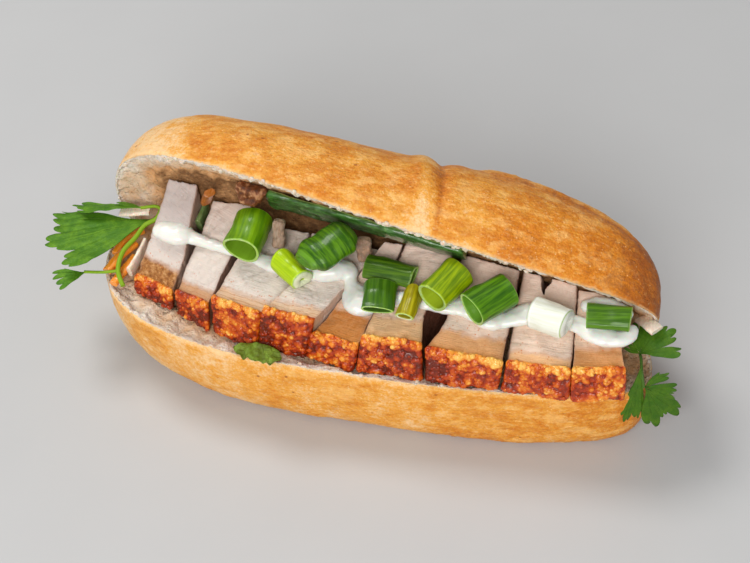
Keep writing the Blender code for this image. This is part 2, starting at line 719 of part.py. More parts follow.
def build_mayo(mat, pork, onions):
    knots = []
    for x, y, wide, high in MAYO_RUN:
        level = sum(pork_top(x + d, y) for d in (-4.0, 0.0, 4.0)) / 3.0
        knots.append((x, y, level + high * 0.30, wide, high))
    strand = helper(ribbon(knots), "mayo_strand")
    rooms = [swollen(piece, MAYO_CLEAR) for piece in pork + onions]
    return combine("mayonnaise", mat, strand, rooms, "DIFFERENCE", 7.0)


def build_cucumber(mat):
    """A baton lying along the crumb of the top half behind the pork."""
    rings = []
    centres = []
    steps = 12
    for i in range(steps + 1):
        f = i / steps
        x = lerp(-37.0, 34.0, f)
        z = lerp(68.0, 62.5, f) + 1.2 * math.sin(3.0 * f)
        y = wall_y(x, z)
        up = Vector((0.0, wall_y(x, z + 3.0) - wall_y(x, z - 3.0), 6.0)).normalized()
        out = Vector((0.0, -up.z, up.y))
        wide = lerp(12.5, 9.5, f)
        thick = 3.0
        middle = Vector((x, y, z)) + out * (thick / 2.0 + 0.8)
        shrink = 0.8 if i in (0, steps) else 1.0
        ring = []
        for k in range(10):
            a = 2.0 * math.pi * k / 10
            c, s = math.cos(a), math.sin(a)
            c = math.copysign(abs(c) ** 0.6, c)
            s = math.copysign(abs(s) ** 0.8, s)
            ring.append(middle + up * (c * wide / 2.0 * shrink) + out * (s * thick / 2.0 * shrink))
        rings.append(ring)
        centres.append(middle)
    return finish(sweep(centres, rings), "cucumber_baton", mat)


def build_sprig(name, mat, leaves, stems):
    """Leaves joined to their stalks as one solid."""
    parts = []
    for n, (length, width, at, turn, lobes, seed) in enumerate(leaves):
        around = 45 if lobes > 3 else 30
        blade = leaf_mesh(length, width, lobes, 3 * lobes, around, seed=seed)
        parts.append(helper(placed(blade, at, turn), "%s_blade_%d" % (name, n)))
        rib = ribbon([(-1.5, 0.0, -0.3, 1.5, 1.5), (0.36 * length, 0.0, 0.1, 1.0, 1.6)], per_span=2, turns=5)
        parts.append(helper(placed(rib, at, turn), "%s_rib_%d" % (name, n)))
    for n, (knots, across) in enumerate(stems):
        run = [(*k, across, across) for k in knots]
        parts.append(helper(ribbon(run, per_span=2, turns=6), "%s_stalk_%d" % (name, n)))
    return combine(name, mat, parts[0], parts[1:], "UNION")


def main():
    clear_scene()
    crust = material("bread_crust", (0.72, 0.40, 0.15), 0.62)
    pork = material("roast_pork", (0.74, 0.55, 0.42), 0.5)
    roasted = material("roasted_edge", (0.33, 0.13, 0.06), 0.5)
    inks = {
        "green": material("onion_green", (0.13, 0.36, 0.05), 0.35),
        "dark": material("onion_dark", (0.06, 0.20, 0.03), 0.3),
        "yellow": material("onion_yellow", (0.42, 0.55, 0.08), 0.35),
        "white": material("onion_white", (0.86, 0.88, 0.76), 0.35),
    }
    mayo = material("mayonnaise", (0.92, 0.88, 0.78), 0.25)
    cucumber = material("cucumber_skin", (0.05, 0.17, 0.04), 0.3)
    herb = material("coriander_leaf", (0.09, 0.30, 0.05), 0.45)
    lettuce = material("salad_leaf", (0.35, 0.50, 0.12), 0.45)
    carrot = material("pickled_carrot", (0.85, 0.33, 0.05), 0.4)
    radish = material("pickled_radish", (0.84, 0.80, 0.66), 0.35)

    build_roll(crust)
    slices = [build_slice(i, pork) for i in range(len(BACK_Y))]
    ends = [
        build_lump("pork_end_1", roasted, (9.0, 4.5, 7.5), (-42.6, 9.0, 70.6), (-0.3, 0.2, 0.0), 3.0),
        build_lump("pork_end_2", pork, (4.2, 4.2, 10.0), (-32.0, 3.8, 58.9), (-0.2, 0.1, 0.2), 7.0),
        build_lump("pork_end_3", pork, (5.0, 3.6, 9.0), (-1.2, 2.2, 58.4), (-0.1, 0.0, 0.1), 12.0),
    ]
    onions = []
    for n, (length, wide, tall, at, yaw, pitch, roll, wall, ink) in enumerate(ONIONS):
        name = "spring_onion_%d" % (n + 1)
        onions.append(build_onion(name, inks[ink], length, wide, tall, at, yaw, pitch, roll, wall))
    build_cucumber(cucumber)
    build_mayo(mayo, slices + ends, onions)
    build_sprig("coriander_left", herb, LEFT_LEAVES, LEFT_STALKS)
    build_sprig("coriander_right", herb, RIGHT_LEAVES, RIGHT_STALKS)
    blade = leaf_mesh(18.5, 7.0, 3, 12, 30, depth=0.15, bite=0.08, wave=1.0, seed=3.3)
    finish(blade, "salad_leaf", lettuce, (-34.4, -30.9, 35.1), (math.radians(8.0), 0.0, math.radians(-4.0)))
    for name, knots, wide, high in STRIPS:
        ink = {"carrot": carrot, "radish": radish, "cucumber": cucumber}[name.split("_")[0]]
        finish(ribbon([(*k, wide, high) for k in knots], per_span=2, turns=6), name, ink)


main()
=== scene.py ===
"""Crispy pork roll: a split bread roll with crackling pork, spring onion, mayonnaise and herbs.

Every piece is made here in code and stands for one packed node. Its main sizes and colours are in
the panel. Working lengths are in millimetres, +X runs along the roll, -Y is the open side and
Z = 0 is the floor.
"""

import itertools
import math

import bmesh
import bpy
import numpy as np
from bpy.props import FloatProperty, FloatVectorProperty, IntProperty, PointerProperty
from mathutils import Matrix, Vector


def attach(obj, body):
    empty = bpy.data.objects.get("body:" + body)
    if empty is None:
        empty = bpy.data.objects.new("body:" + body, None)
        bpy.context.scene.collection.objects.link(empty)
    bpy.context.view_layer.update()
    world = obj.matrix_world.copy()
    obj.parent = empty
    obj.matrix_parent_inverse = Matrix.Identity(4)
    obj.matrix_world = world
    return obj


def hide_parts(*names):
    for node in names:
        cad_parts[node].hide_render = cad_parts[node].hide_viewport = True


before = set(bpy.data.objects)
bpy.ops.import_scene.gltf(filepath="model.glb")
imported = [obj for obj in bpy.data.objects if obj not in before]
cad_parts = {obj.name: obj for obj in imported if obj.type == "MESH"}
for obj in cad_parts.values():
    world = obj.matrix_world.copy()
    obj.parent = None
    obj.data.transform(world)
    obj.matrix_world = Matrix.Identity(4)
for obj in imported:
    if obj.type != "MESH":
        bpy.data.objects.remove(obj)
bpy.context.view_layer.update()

bl_info = {
    "name": "Crispy pork roll",
    "version": (1, 0, 0),
    "blender": (4, 5, 0),
    "location": "3D View > Sidebar > Pork roll",
    "description": "Dresses a split bread roll filled with crackling roast pork and its toppings",
    "category": "Object",
}

MM = 0.001
FULL_TURN = 2.0 * math.pi


# ---------------------------------------------------------------- settings


def size(label, words, millimetres):
    return FloatProperty(
        name=label, description=words, default=millimetres * MM, unit="LENGTH", precision=4)


def turn(label, words, degrees):
    return FloatProperty(
        name=label, description=words, default=math.radians(degrees), subtype="ANGLE")


def tint(label, words, red, green, blue):
    return FloatVectorProperty(
        name=label, description=words, default=(red, green, blue), size=3, min=0.0, max=1.0,
        subtype="COLOR")


def amount(label, words, value):
    return IntProperty(name=label, description=words, default=value, min=0)


class BreadSettings(bpy.types.PropertyGroup):
    """Sizes and colours of the bread roll."""

    length: size("Length", "Length of the roll", 200.0)
    half_width: size("Half width", "Half the width of the closed roll", 37.5)
    dome: size("Dome", "Height of the top half above the knife cut", 39.0)
    depth: size("Depth", "Depth of the bottom half below the knife cut", 52.5)
    opening: turn("Opening", "How far the top half is folded back", 71.0)
    blister: size("Blister height", "Height of the small blisters of the crust", 0.16)
    tear: size("Tear", "How far torn crumb stands out of the cut", 0.9)
    pale: tint("Pale crust", "Crust that took little colour", 0.93, 0.60, 0.29)
    golden: tint("Golden crust", "Main colour of the crust", 0.83, 0.37, 0.048)
    amber: tint("Amber crust", "Well baked crust", 0.70, 0.22, 0.008)
    brown: tint("Brown crust", "Darkest crust", 0.36, 0.095, 0.010)
    crumb: tint("Crumb", "Soft inside of the bread", 0.86, 0.76, 0.65)
    crumb_mid: tint("Crumb hollows", "Deeper parts of the crumb", 0.76, 0.55, 0.37)
    crumb_shade: tint("Toasted crumb", "Crumb that took colour", 0.70, 0.37, 0.16)
    seed: amount("Seed", "Seed of the torn crumb", 4)


class PorkSettings(bpy.types.PropertyGroup):
    """Sizes and colours of the roast pork."""

    bubble: size("Bubble", "Width of one bubble of the crackling", 1.45)
    relief: size("Bubble relief", "Height of the bubbles of the crackling", 0.85)
    honey: tint("Crackling honey", "Lightest bubbles of the crackling", 0.93, 0.50, 0.10)
    gold: tint("Crackling gold", "Crowns of the crackling", 0.80, 0.26, 0.018)
    amber: tint("Crackling amber", "Main colour of the crackling", 0.60, 0.090, 0.003)
    ember: tint("Crackling red", "Deep red parts of the crackling", 0.38, 0.030, 0.002)
    scorch: tint("Crackling dark", "Scorched parts of the crackling", 0.15, 0.014, 0.002)
    fat: tint("Fat", "Soft layers of fat", 0.74, 0.50, 0.31)
    toast: tint("Toasted fat", "Fat that was browned", 0.50, 0.175, 0.032)
    lean: tint("Pale lean", "Lean meat of the left slices", 0.76, 0.67, 0.60)
    blush: tint("Pink lean", "Lean meat of the right slices", 0.84, 0.60, 0.44)
    # Painted light: this lighter lean colour offsets the shade that the top half casts on the backs
    # of the slices.
    back: tint("Darker lean", "Lean meat towards the back", 0.88, 0.66, 0.55)
    # Partly painted shade: the dark side colour also stands for shade in the gaps between slices.
    wall: tint("Seared side", "Browned side of a slice", 0.13, 0.030, 0.010)
    seed: amount("Seed", "Seed of the bubbles", 3)


class OnionSettings(bpy.types.PropertyGroup):
    """Sizes and colours of the spring onion."""

    rib: size("Rib height", "Height of the fine ribs of the leaf", 0.035)
    inside: tint("Inside", "Cut edge of the hollow leaf", 0.36, 0.55, 0.10)
    pith: tint("Pith", "Pale middle of a young piece", 0.74, 0.78, 0.52)


class SauceSettings(bpy.types.PropertyGroup):
    """Size and colour of the mayonnaise."""

    grain: size("Grain", "Fineness of the sauce's surface mesh", 0.5)
    colour: tint("Mayonnaise", "Colour of the mayonnaise", 0.82, 0.825, 0.765)


class SaladSettings(bpy.types.PropertyGroup):
    """Colours of the leaves, the cucumber and the pickles."""

    thick: size("Leaf thickness", "Thickness of the coriander leaves", 0.32)
    herb: tint("Coriander", "Upper face of the coriander leaves", 0.055, 0.175, 0.004)
    herb_light: tint("Coriander light", "Young coriander", 0.145, 0.32, 0.010)
    stalk: tint("Stalk", "Coriander stalks", 0.22, 0.38, 0.012)
    lettuce: tint("Lettuce", "Light green salad leaf", 0.27, 0.42, 0.04)
    skin: tint("Cucumber skin", "Dark skin of the cucumber", 0.022, 0.075, 0.008)
    flesh: tint("Cucumber flesh", "Pale flesh under the skin", 0.30, 0.45, 0.12)
    carrot: tint("Carrot", "Pickled carrot", 0.95, 0.27, 0.008)
    radish: tint("Radish", "Pickled white radish", 0.78, 0.63, 0.50)


class StageSettings(bpy.types.PropertyGroup):
    """Floor and camera."""

    azimuth: turn("Azimuth", "Turn of the camera round the roll", 18.0)
    elevation: turn("Elevation", "Height angle of the camera", 45.0)
    roll: turn("Roll", "Tilt of the camera", -5.02)
    distance: size("Distance", "Camera distance", 623.46)
    floor: tint("Floor", "Pale floor", 0.53, 0.53, 0.53)


GROUPS = {
    "pork_roll_bread": BreadSettings,
    "pork_roll_pork": PorkSettings,
    "pork_roll_onion": OnionSettings,
    "pork_roll_sauce": SauceSettings,
    "pork_roll_salad": SaladSettings,
    "pork_roll_stage": StageSettings,
}


# ---------------------------------------------------------------- numbers


def smooth(x):
    """A soft step from 0 to 1."""
    x = np.clip(x, 0.0, 1.0)
    return x * x * (3.0 - 2.0 * x)


def rise(x, low, high):
    """0 below low, 1 above high, and smooth between; high may be the lower."""
    return smooth((x - low) / (high - low))


def mixed(a, b, f):
    """a where f is 0 and b where it is 1."""
    return a + (b - a) * f


def bell(x):
    """A soft bump of height 1 round 0."""
    return np.exp(-x * x)


def domed(away, radius):
    """The height of a ball of radius 1 at this distance from its middle, in radii."""
    return np.sqrt(np.maximum(0.0, 1.0 - (away / radius) ** 2))


def toned(colour, gain, lift=0.0):
    """A colour made darker or lighter."""
    return [min(1.0, c * gain + lift) for c in colour]


# Large odd numbers that make neighbouring cells unlike.
CELL_STEPS = (374761393, 668265263, 1103515245)
SEED_STEP = 974711
STIR = 1274126177
WORD = 0xFFFFFFFF
FRACTION = 0xFFFFFF


def cell_random(cell, seed):
    """A fixed random number from 0 to 1 for each whole-number cell."""
    n = sum(cell[..., k] * CELL_STEPS[k] for k in range(3)) + seed * SEED_STEP
    n = n & WORD
    n = ((n ^ (n >> 13)) * STIR) & WORD
    n = ((n ^ (n >> 16)) * CELL_STEPS[1]) & WORD
    return ((n ^ (n >> 15)) & FRACTION) / float(FRACTION)


def lumps(points, spacing, seed):
    """Smooth noise from -1 to 1 at the points, with lumps about spacing apart."""
    q = points / spacing
    base = np.floor(q).astype(np.int64)
    f = q - base
    f = f * f * f * (f * (6.0 * f - 15.0) + 10.0)
    total = 0.0
    for corner in itertools.product((0, 1), repeat=3):
        weight = np.prod(np.where(np.array(corner), f, 1.0 - f), axis=-1)
        total = total + weight * cell_random(base + np.array(corner), seed)
    return 2.0 * total - 1.0


def rough(points, spacing, seed, octaves):
    """Several sizes of lumps added up."""
    total = 0.0
    for n in range(octaves):
        total = total + lumps(points, spacing / 2.0 ** n, seed + n) / 2.0 ** n
    return total


def cells(points, spacing, seed):
    """Distance to the nearest of many scattered centres, in spacings, and its random number."""
    q = points / spacing
    base = np.floor(q).astype(np.int64)
    near = np.full(q.shape[:-1], 9.0)
    own = np.zeros(q.shape[:-1])
    for step in itertools.product((-1, 0, 1), repeat=3):
        cell = base + np.array(step)
        centre = np.stack([cell_random(cell, seed + k) for k in (11, 23, 37)], axis=-1) + cell
        away = np.linalg.norm(q - centre, axis=-1)
        closer = away < near
        own = np.where(closer, cell_random(cell, seed + 5), own)
        near = np.where(closer, away, near)
    return near, own


def grid_of(*columns):
    """Columns of numbers, spread to one shape, side by side."""
    return np.stack(np.broadcast_arrays(*columns), axis=-1)


# ---------------------------------------------------------------- meshes


def mesh_of(name, points, faces, layers=None):
    """A mesh in metres from millimetre points, with places that coincide made one."""
    points = np.asarray(points, float)
    _, first, index = np.unique(
        np.round(points, 4), axis=0, return_index=True, return_inverse=True)
    index = index.reshape(-1)
    kept = []
    for face in faces:
        ring = list(dict.fromkeys(index[list(face)].tolist()))
        if len(ring) > 2:
            kept.append(ring)
    data = bpy.data.meshes.new(name)
    data.from_pydata((points[first] * MM).tolist(), [], kept)
    for layer, values in (layers or {}).items():
        point_layer(data, layer, np.asarray(values, float)[first])
    bm = bmesh.new()
    bm.from_mesh(data)
    bmesh.ops.recalc_face_normals(bm, faces=bm.faces)
    if bm.calc_volume(signed=True) < 0.0:
        bmesh.ops.reverse_faces(bm, faces=bm.faces)
    bm.to_mesh(data)
    bm.free()
    soften(data)
    return data


def soften(data):
    """Shade the whole mesh smooth."""
    data.polygons.foreach_set("use_smooth", [True] * len(data.polygons))


def point_vectors(data, key):
    flat = np.empty(len(data.vertices) * 3, np.float32)
    data.vertices.foreach_get(key, flat)
    return flat.reshape(-1, 3)


def coordinates(data):
    """The mesh's points in millimetres."""
    return point_vectors(data, "co").astype(float) / MM


def layer_of(data, name):
    values = np.empty(len(data.vertices), np.float32)
    data.attributes[name].data.foreach_get("value", values)
    return values.astype(float)


def point_layer(data, name, values):
    """Give each point of the mesh a number, or three."""
    kind, key = ("FLOAT", "value") if values.ndim == 1 else ("FLOAT_VECTOR", "vector")
    made = data.attributes.new(name, kind, "POINT")
    made.data.foreach_set(key, values.astype(np.float32).ravel())


def puff(data, heights):
    """Move each point along its normal by its height in millimetres."""
    moved = coordinates(data) + point_vectors(data, "normal") * heights[:, None]
    data.vertices.foreach_set("co", (moved * MM).astype(np.float32).ravel())
    data.update()


def roughen(data, *sizes):
    """Raise and lower the surface by lumps: each size is height, spacing and seed."""
    where = coordinates(data)
    puff(data, sum(high * lumps(where, spacing, seed) for high, spacing, seed in sizes))


def link(name, data):
    """A new object of the scene."""
    made = bpy.data.objects.new(name, data)
    bpy.context.scene.collection.objects.link(made)
    return made


def show(name, data, material):
    """Put a mesh in the scene with its material."""
    data.materials.append(material)
    return link(name, data)


def stand_for(piece, node):
    """The piece rides on the part, and is shown instead of this node."""
    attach(piece, "root")
    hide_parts(node)


def grid_faces(rows, columns, start=0, closed=False):
    """Quads over a grid of points that is stored row by row."""
    last = columns if closed else columns - 1
    i, j = np.meshgrid(np.arange(rows - 1), np.arange(last), indexing="ij")
    k = (j + 1) % columns
    here, ahead = i * columns, (i + 1) * columns
    quads = np.stack([here + j, here + k, ahead + k, ahead + j], axis=-1)
    return (quads.reshape(-1, 4) + start).tolist()


def turned(degrees):
    """A 3 x 3 array that turns points about X, then Y, then Z."""
    x, y, z = (math.radians(d) for d in degrees)
    made = Matrix.Rotation(z, 3, "Z") @ Matrix.Rotation(y, 3, "Y") @ Matrix.Rotation(x, 3, "X")
    return np.array(made)


def catmull(knots, per_span):
    """A smooth path through rows of numbers."""
    knots = np.asarray(knots, float)
    padded = np.vstack([knots[:1], knots, knots[-1:]])
    f = np.arange(per_span)[:, None] / per_span
    spans = []
    for a, b, c, d in zip(padded, padded[1:], padded[2:], padded[3:]):
        bent = 2 * b + (c - a) * f + (2 * a - 5 * b + 4 * c - d) * f ** 2
        spans.append(0.5 * (bent + (3 * b - a - 3 * c + d) * f ** 3))
    return np.vstack(spans + [knots[-1:]])


def squared(angle, power_x, power_y):
    """Points of a circle that is pulled out towards its square."""
    c, s = np.cos(angle), np.sin(angle)
    return np.sign(c) * np.abs(c) ** power_x, np.sign(s) * np.abs(s) ** power_y


def capped(rings, middles, shares):
    """Rings of points with an end cap of shrinking rings at both ends."""
    ends = [[mixed(rings[n], middles[n], g) for g in shares] for n in (0, -1)]
    return np.concatenate([ends[0][::-1], rings, ends[1]])


def rod(path, wide, high, turns, square=1.0):
    """The points and faces of a closed tube along a path."""
    ahead = np.gradient(path, axis=0)
    side = np.cross(ahead, (0.0, 0.0, 1.0))
    side /= np.linalg.norm(side, axis=1, keepdims=True)
    up = np.cross(side, ahead)
    up /= np.linalg.norm(up, axis=1, keepdims=True)
    c, s = squared(np.linspace(0.0, FULL_TURN, turns, endpoint=False), square, square)
    wide = np.broadcast_to(wide, len(path))[:, None]
    high = np.broadcast_to(high, len(path))[:, None]
    rings = path[:, None] + side[:, None] * (wide / 2 * c)[..., None]
    rings = rings + up[:, None] * (high / 2 * s)[..., None]
    stack = capped(rings, path, (0.12, 0.5, 1.0))
    return stack.reshape(-1, 3), grid_faces(len(stack), turns, closed=True)


# ---------------------------------------------------------------- node trees


class Value:
    """A socket that can be used in sums; each sum adds a Math node."""

    def __init__(self, sheet, socket):
        self.sheet = sheet
        self.socket = socket

    def maths(self, operation, *others):
        inputs = dict(enumerate((self, *others)))
        return self.sheet.node("ShaderNodeMath", {"operation": operation}, inputs)

    def __add__(self, other):
        return self.maths("ADD", other)

    def __sub__(self, other):
        return self.maths("SUBTRACT", other)

    def __rsub__(self, other):
        return self.sheet.node("ShaderNodeMath", {"operation": "SUBTRACT"}, {0: other, 1: self})

    def __mul__(self, other):
        return self.maths("MULTIPLY", other)

    def __truediv__(self, other):
        return self.maths("DIVIDE", other)

    __radd__ = __add__
    __rmul__ = __mul__

    def sine(self):
        return self.maths("SINE")

    def over(self, low, high):
        """0 below low, 1 above high, and smooth between."""
        inputs = {"Value": self, "From Min": low, "From Max": high}
        return self.sheet.node("ShaderNodeMapRange", {"interpolation_type": "SMOOTHSTEP"}, inputs)

    def within(self):
        return self.sheet.node("ShaderNodeClamp", {}, {"Value": self})


class Sheet:
    """A node tree that is filled by one method."""

    def __init__(self, tree):
        self.tree = tree

    def node(self, kind, settings=None, inputs=None, output=0):
        made = self.tree.nodes.new(kind)
        for key, value in (settings or {}).items():
            if key == "ramp":
                stops = made.color_ramp.elements
                while len(stops) < len(value):
                    stops.new(0.5)
                for stop, (place, colour) in zip(stops, value):
                    stop.position = place
                    stop.color = (*colour, 1.0)
            else:
                setattr(made, key, value)
        for key, value in (inputs or {}).items():
            socket = made.inputs[key]
            if isinstance(value, Value):
                self.tree.links.new(value.socket, socket)
            elif isinstance(value, (bpy.types.Material, str)):
                socket.default_value = value
            elif hasattr(socket.default_value, "__len__"):
                value = tuple(value)
                socket.default_value = value + (1.0,) * (len(socket.default_value) - len(value))
            else:
                socket.default_value = value
        return Value(self, made.outputs[output])

    def vectors(self, operation, a, b):
        return self.node("ShaderNodeVectorMath", {"operation": operation}, {0: a, 1: b})


class Finish(Sheet):
    """A material with one Principled shader."""

    def __init__(self, name, **constants):
        self.material = bpy.data.materials.new(name)
        self.material.use_nodes = True
        super().__init__(self.material.node_tree)
        self.shader = self.tree.nodes["Principled BSDF"]
        for label, value in constants.items():
            self.shader.inputs[label.replace("_", " ")].default_value = value

    def feed(self, **links):
        for label, value in links.items():
            self.tree.links.new(value.socket, self.shader.inputs[label.replace("_", " ")])
        return self.material

    def place(self, stretch=(1.0, 1.0, 1.0)):
        """Millimetre coordinates of the piece, stretched."""
        base = self.node("ShaderNodeTexCoord", output=3)
        return self.vectors("MULTIPLY", base, tuple(s / MM for s in stretch))

    def layer(self, name):
        return self.node("ShaderNodeAttribute", {"attribute_name": name}, output=2)

    def layer_place(self, name):
        """Coordinates that a layer of the mesh holds."""
        return self.node("ShaderNodeAttribute", {"attribute_name": name}, output=1)

    def noise(self, place, scale, detail=3.0, rough_share=0.5):
        inputs = {"Vector": place, "Scale": scale, "Detail": detail, "Roughness": rough_share}
        return self.node("ShaderNodeTexNoise", {}, inputs)

    def dots(self, place, scale):
        """Distance from the nearest of many scattered places."""
        return self.node("ShaderNodeTexVoronoi", {}, {"Vector": place, "Scale": scale})

    def mix(self, share, a, b):
        settings = {"data_type": "RGBA", "clamp_factor": True}
        return self.node("ShaderNodeMix", settings, {0: share, 6: a, 7: b}, 2)

    def coats(self, base, *coats):
        """Lay each colour over the one below it, where its share is high."""
        for share, colour in coats:
            base = self.mix(share, base, colour)
        return base

    def ramp(self, share, *stops):
        return self.node("ShaderNodeValToRGB", {"ramp": stops}, {"Fac": share})

    def bump(self, height, millimetres):
        inputs = {"Height": height, "Strength": 1.0, "Distance": millimetres * MM}
        return self.node("ShaderNodeBump", {}, inputs)


# ---------------------------------------------------------------- bread


class Roll:
    """The opened section of the roll at any place along it, for arrays of millimetres.

    Places along the roll are t, from -1 at the left end to 1 at the right end.
    """

    PLAN_POWER, PROFILE_POWER = 2.25, 3.05      # roundness from above and from the front
    SQUARENESS = 0.8                            # of the crust's section
    BOW, SLANT = 5.1, 10.0                      # of the middle line, seen from above
    FRONT_TAPER, BACK_TAPER = 0.34, 0.07        # narrower towards the right end
    CUT_HEIGHT, CUT_SLOPE = 32.6, 2.8
    HINGE_AT, HINGE_SLANT = 14.75, 8.4
    WEB_LEAST, WEB_FULL = 1.5, 9.0              # bread behind the cut that holds the halves
    WEB_TURN = 100.0                            # degrees round the hinge over which it turns
    FOLD_TWIST, FOLD_FLARE = 8.5, 5.4           # degrees, of the opening along the roll
    TOP_HOLLOW, BOTTOM_HOLLOW = 6.0, 5.5        # of the crumb in each half
    HOLLOW_POWER = 0.6
    FOOT = 8.0                                  # radius of the edge that the roll stands on
    CREASE_DEEP, CREASE_WIDE, BANK_HIGH = 1.7, 4.0, 1.15
    RIDGE_HIGH, RIDGE_ANGLE = 2.4, 1.35
    CRINKLE_HIGH = 0.5
    NOISE_PER_RADIAN = 26.0
    WALL_STEPS = 24

    def __init__(self, bread):
        self.half = bread.length / MM / 2.0
        self.side = bread.half_width / MM
        self.dome = bread.dome / MM
        self.deep = bread.depth / MM
        self.fold = math.degrees(bread.opening)

    def plan(self, t):
        return np.maximum(1.0 - np.abs(t) ** self.PLAN_POWER, 0.0) ** (1.0 / self.PLAN_POWER)

    def tall(self, t):
        return np.maximum(1.0 - np.abs(t) ** self.PROFILE_POWER, 0.0) ** (1.0 / self.PROFILE_POWER)

    def centre(self, t):
        return self.BOW * (1.0 - t * t) - self.SLANT * t

    def front(self, t):
        return self.centre(t) - self.side * self.plan(t) * (1.0 - self.FRONT_TAPER * t)

    def back(self, t):
        return self.centre(t) + self.side * self.plan(t) * (1.0 - self.BACK_TAPER * t)

    def cut(self, t):
        """Height of the knife cut."""
        return self.CUT_HEIGHT - self.CUT_SLOPE * t

    def hinge(self, t):
        """Y of the inner end of the knife cut."""
        return self.HINGE_AT - self.HINGE_SLANT * t

    def apart(self, t):
        """1 where the knife went right through, 0 where the halves still hang together."""
        return 1.0 - rise(self.back(t) - self.hinge(t), self.WEB_LEAST, self.WEB_FULL)

    def hangs(self, t):
        """Whether the halves hang together."""
        return self.hinge(t) + self.WEB_LEAST < self.back(t)

    def inner_end(self, t):
        """Y at which the cut ends."""
        return np.where(self.hangs(t), self.hinge(t), self.back(t))

    def settled(self, z):
        """Flatten what would lie under the floor, with a rounded foot."""
        foot = self.FOOT
        return np.where(z > foot, z, np.where(z > -foot, (z + foot) ** 2 / (4.0 * foot), 0.0))

    def open_out(self, t, y, z, top):
        """Turn points of the closed section about the inner end of the cut."""
        dy = y - self.hinge(t)
        dz = z - self.cut(t)
        around = np.degrees(np.arctan2(np.abs(dz), dy)) * (1.0 if top else -1.0)
        web = smooth((around + self.WEB_TURN) / (2.0 * self.WEB_TURN))
        part = mixed(web, 1.0 if top else 0.0, self.apart(t))
        angle = np.radians(self.fold - self.FOLD_TWIST * t + self.FOLD_FLARE * t * t) * part
        out_y = self.hinge(t) + dy * np.cos(angle) + dz * np.sin(angle)
        out_z = self.cut(t) - dy * np.sin(angle) + dz * np.cos(angle)
        return out_y, np.maximum(out_z, 0.0)

    def crease(self, angle):
        """Where the fold line across the top half lies."""
        return 14.0 + 11.0 * np.cos(angle) - 0.7 * np.sin(2.4 * angle)

    def swell(self, t, angle, top):
        """How far the crust stands above the plain section, with its fold line and its ridge."""
        x = t * self.half + 0.0 * angle
        where = grid_of(x, self.NOISE_PER_RADIAN * angle, 70.0 if top else 30.0)
        lift = 0.75 * lumps(where, 24.0, 8) + 0.28 * lumps(where, 8.0, 9)
        if top:
            off = (x - self.crease(angle)) / self.CREASE_WIDE
            side = np.sin(np.clip(angle, 0.0, math.pi)) ** 0.35
            lift = lift - self.CREASE_DEEP * np.exp(-1.5 * np.abs(off) ** 1.25) * side
            lift = lift + self.BANK_HIGH * bell((off + 1.55) / 1.1) * side
            along = rise(x, 27.0, 37.0) * rise(x, 99.0, 83.0)
            across = angle - self.RIDGE_ANGLE - 0.05 * np.sin(x / 11.0)
            ridge = bell(across / np.where(across < 0.0, 0.17, 0.42))
            lift = lift + self.RIDGE_HIGH * along * ridge
        else:
            slanted = where[..., :1] * np.array((0.0, 0.32, 0.0))
            crinkle = 1.0 - np.abs(lumps(where * np.array((0.45, 1.0, 1.0)) + slanted, 5.0, 14))
            low = bell((angle - 0.5) / 0.5)
            lift = lift + self.CRINKLE_HIGH * crinkle * rise(x, 25.0, 60.0) * low
        return lift * self.plan(t)

    def outer(self, t, angle, top):
        """Crust points: angle 0 is the front edge of the cut and pi the back."""
        c, s = squared(angle, self.SQUARENESS, self.SQUARENESS)
        lift = self.swell(t, angle, top) * np.minimum(1.0, 3.0 * np.sin(angle))
        width = np.where(c > 0.0, self.centre(t) - self.front(t), self.back(t) - self.centre(t))
        y = self.centre(t) - c * (width + lift)
        if top:
            return y, self.cut(t) + np.abs(s) * (self.dome * self.tall(t) + lift)
        return y, self.settled(self.cut(t) - np.abs(s) * (self.deep * self.tall(t) + lift))

    def inner(self, t, f, top):
        """Crumb points of the cut: f is 0 at the front edge and 1 at the inner end."""
        y = mixed(self.front(t), self.inner_end(t), f)
        arch = np.sin(math.pi * np.clip(f, 0.0, 1.0)) ** self.HOLLOW_POWER
        hollow = (self.TOP_HOLLOW if top else self.BOTTOM_HOLLOW) * self.plan(t) * arch
        return y, self.cut(t) + (hollow if top else -hollow)

    def wall(self, x, z):
        """How far back the mouth reaches at height z."""
        t = x / self.half
        f = 1.0 - np.arange(self.WALL_STEPS + 1.0)[:, None] / self.WALL_STEPS
        y0, z0 = self.inner(t[None, :], f, True)
        ys, zs = self.open_out(t[None, :], y0, z0, True)
        found = self.inner_end(t)
        for low in range(self.WALL_STEPS):
            share = (z - zs[low]) / np.maximum(zs[low + 1] - zs[low], 1e-6)
            within = (share > 0.0) & (share <= 1.0)
            found = np.where(within, mixed(ys[low], ys[low + 1], share), found)
        return np.where(z > zs[-1], ys[-1], found)

    def ground(self, x, y):
        """Height of the bottom half's crumb."""
        t = x / self.half
        f = (y - self.front(t)) / (self.inner_end(t) - self.front(t))
        return self.inner(t, np.clip(f, 0.0, 1.0), False)[1]


# Points along the roll, round the crust of one half and across its crumb.
BREAD_GRID = (326, 96, 46)

# How near the ends of the roll the points come, and how far off an edge counts that isn't there.
TIP = 0.9994
NO_EDGE = 60.0


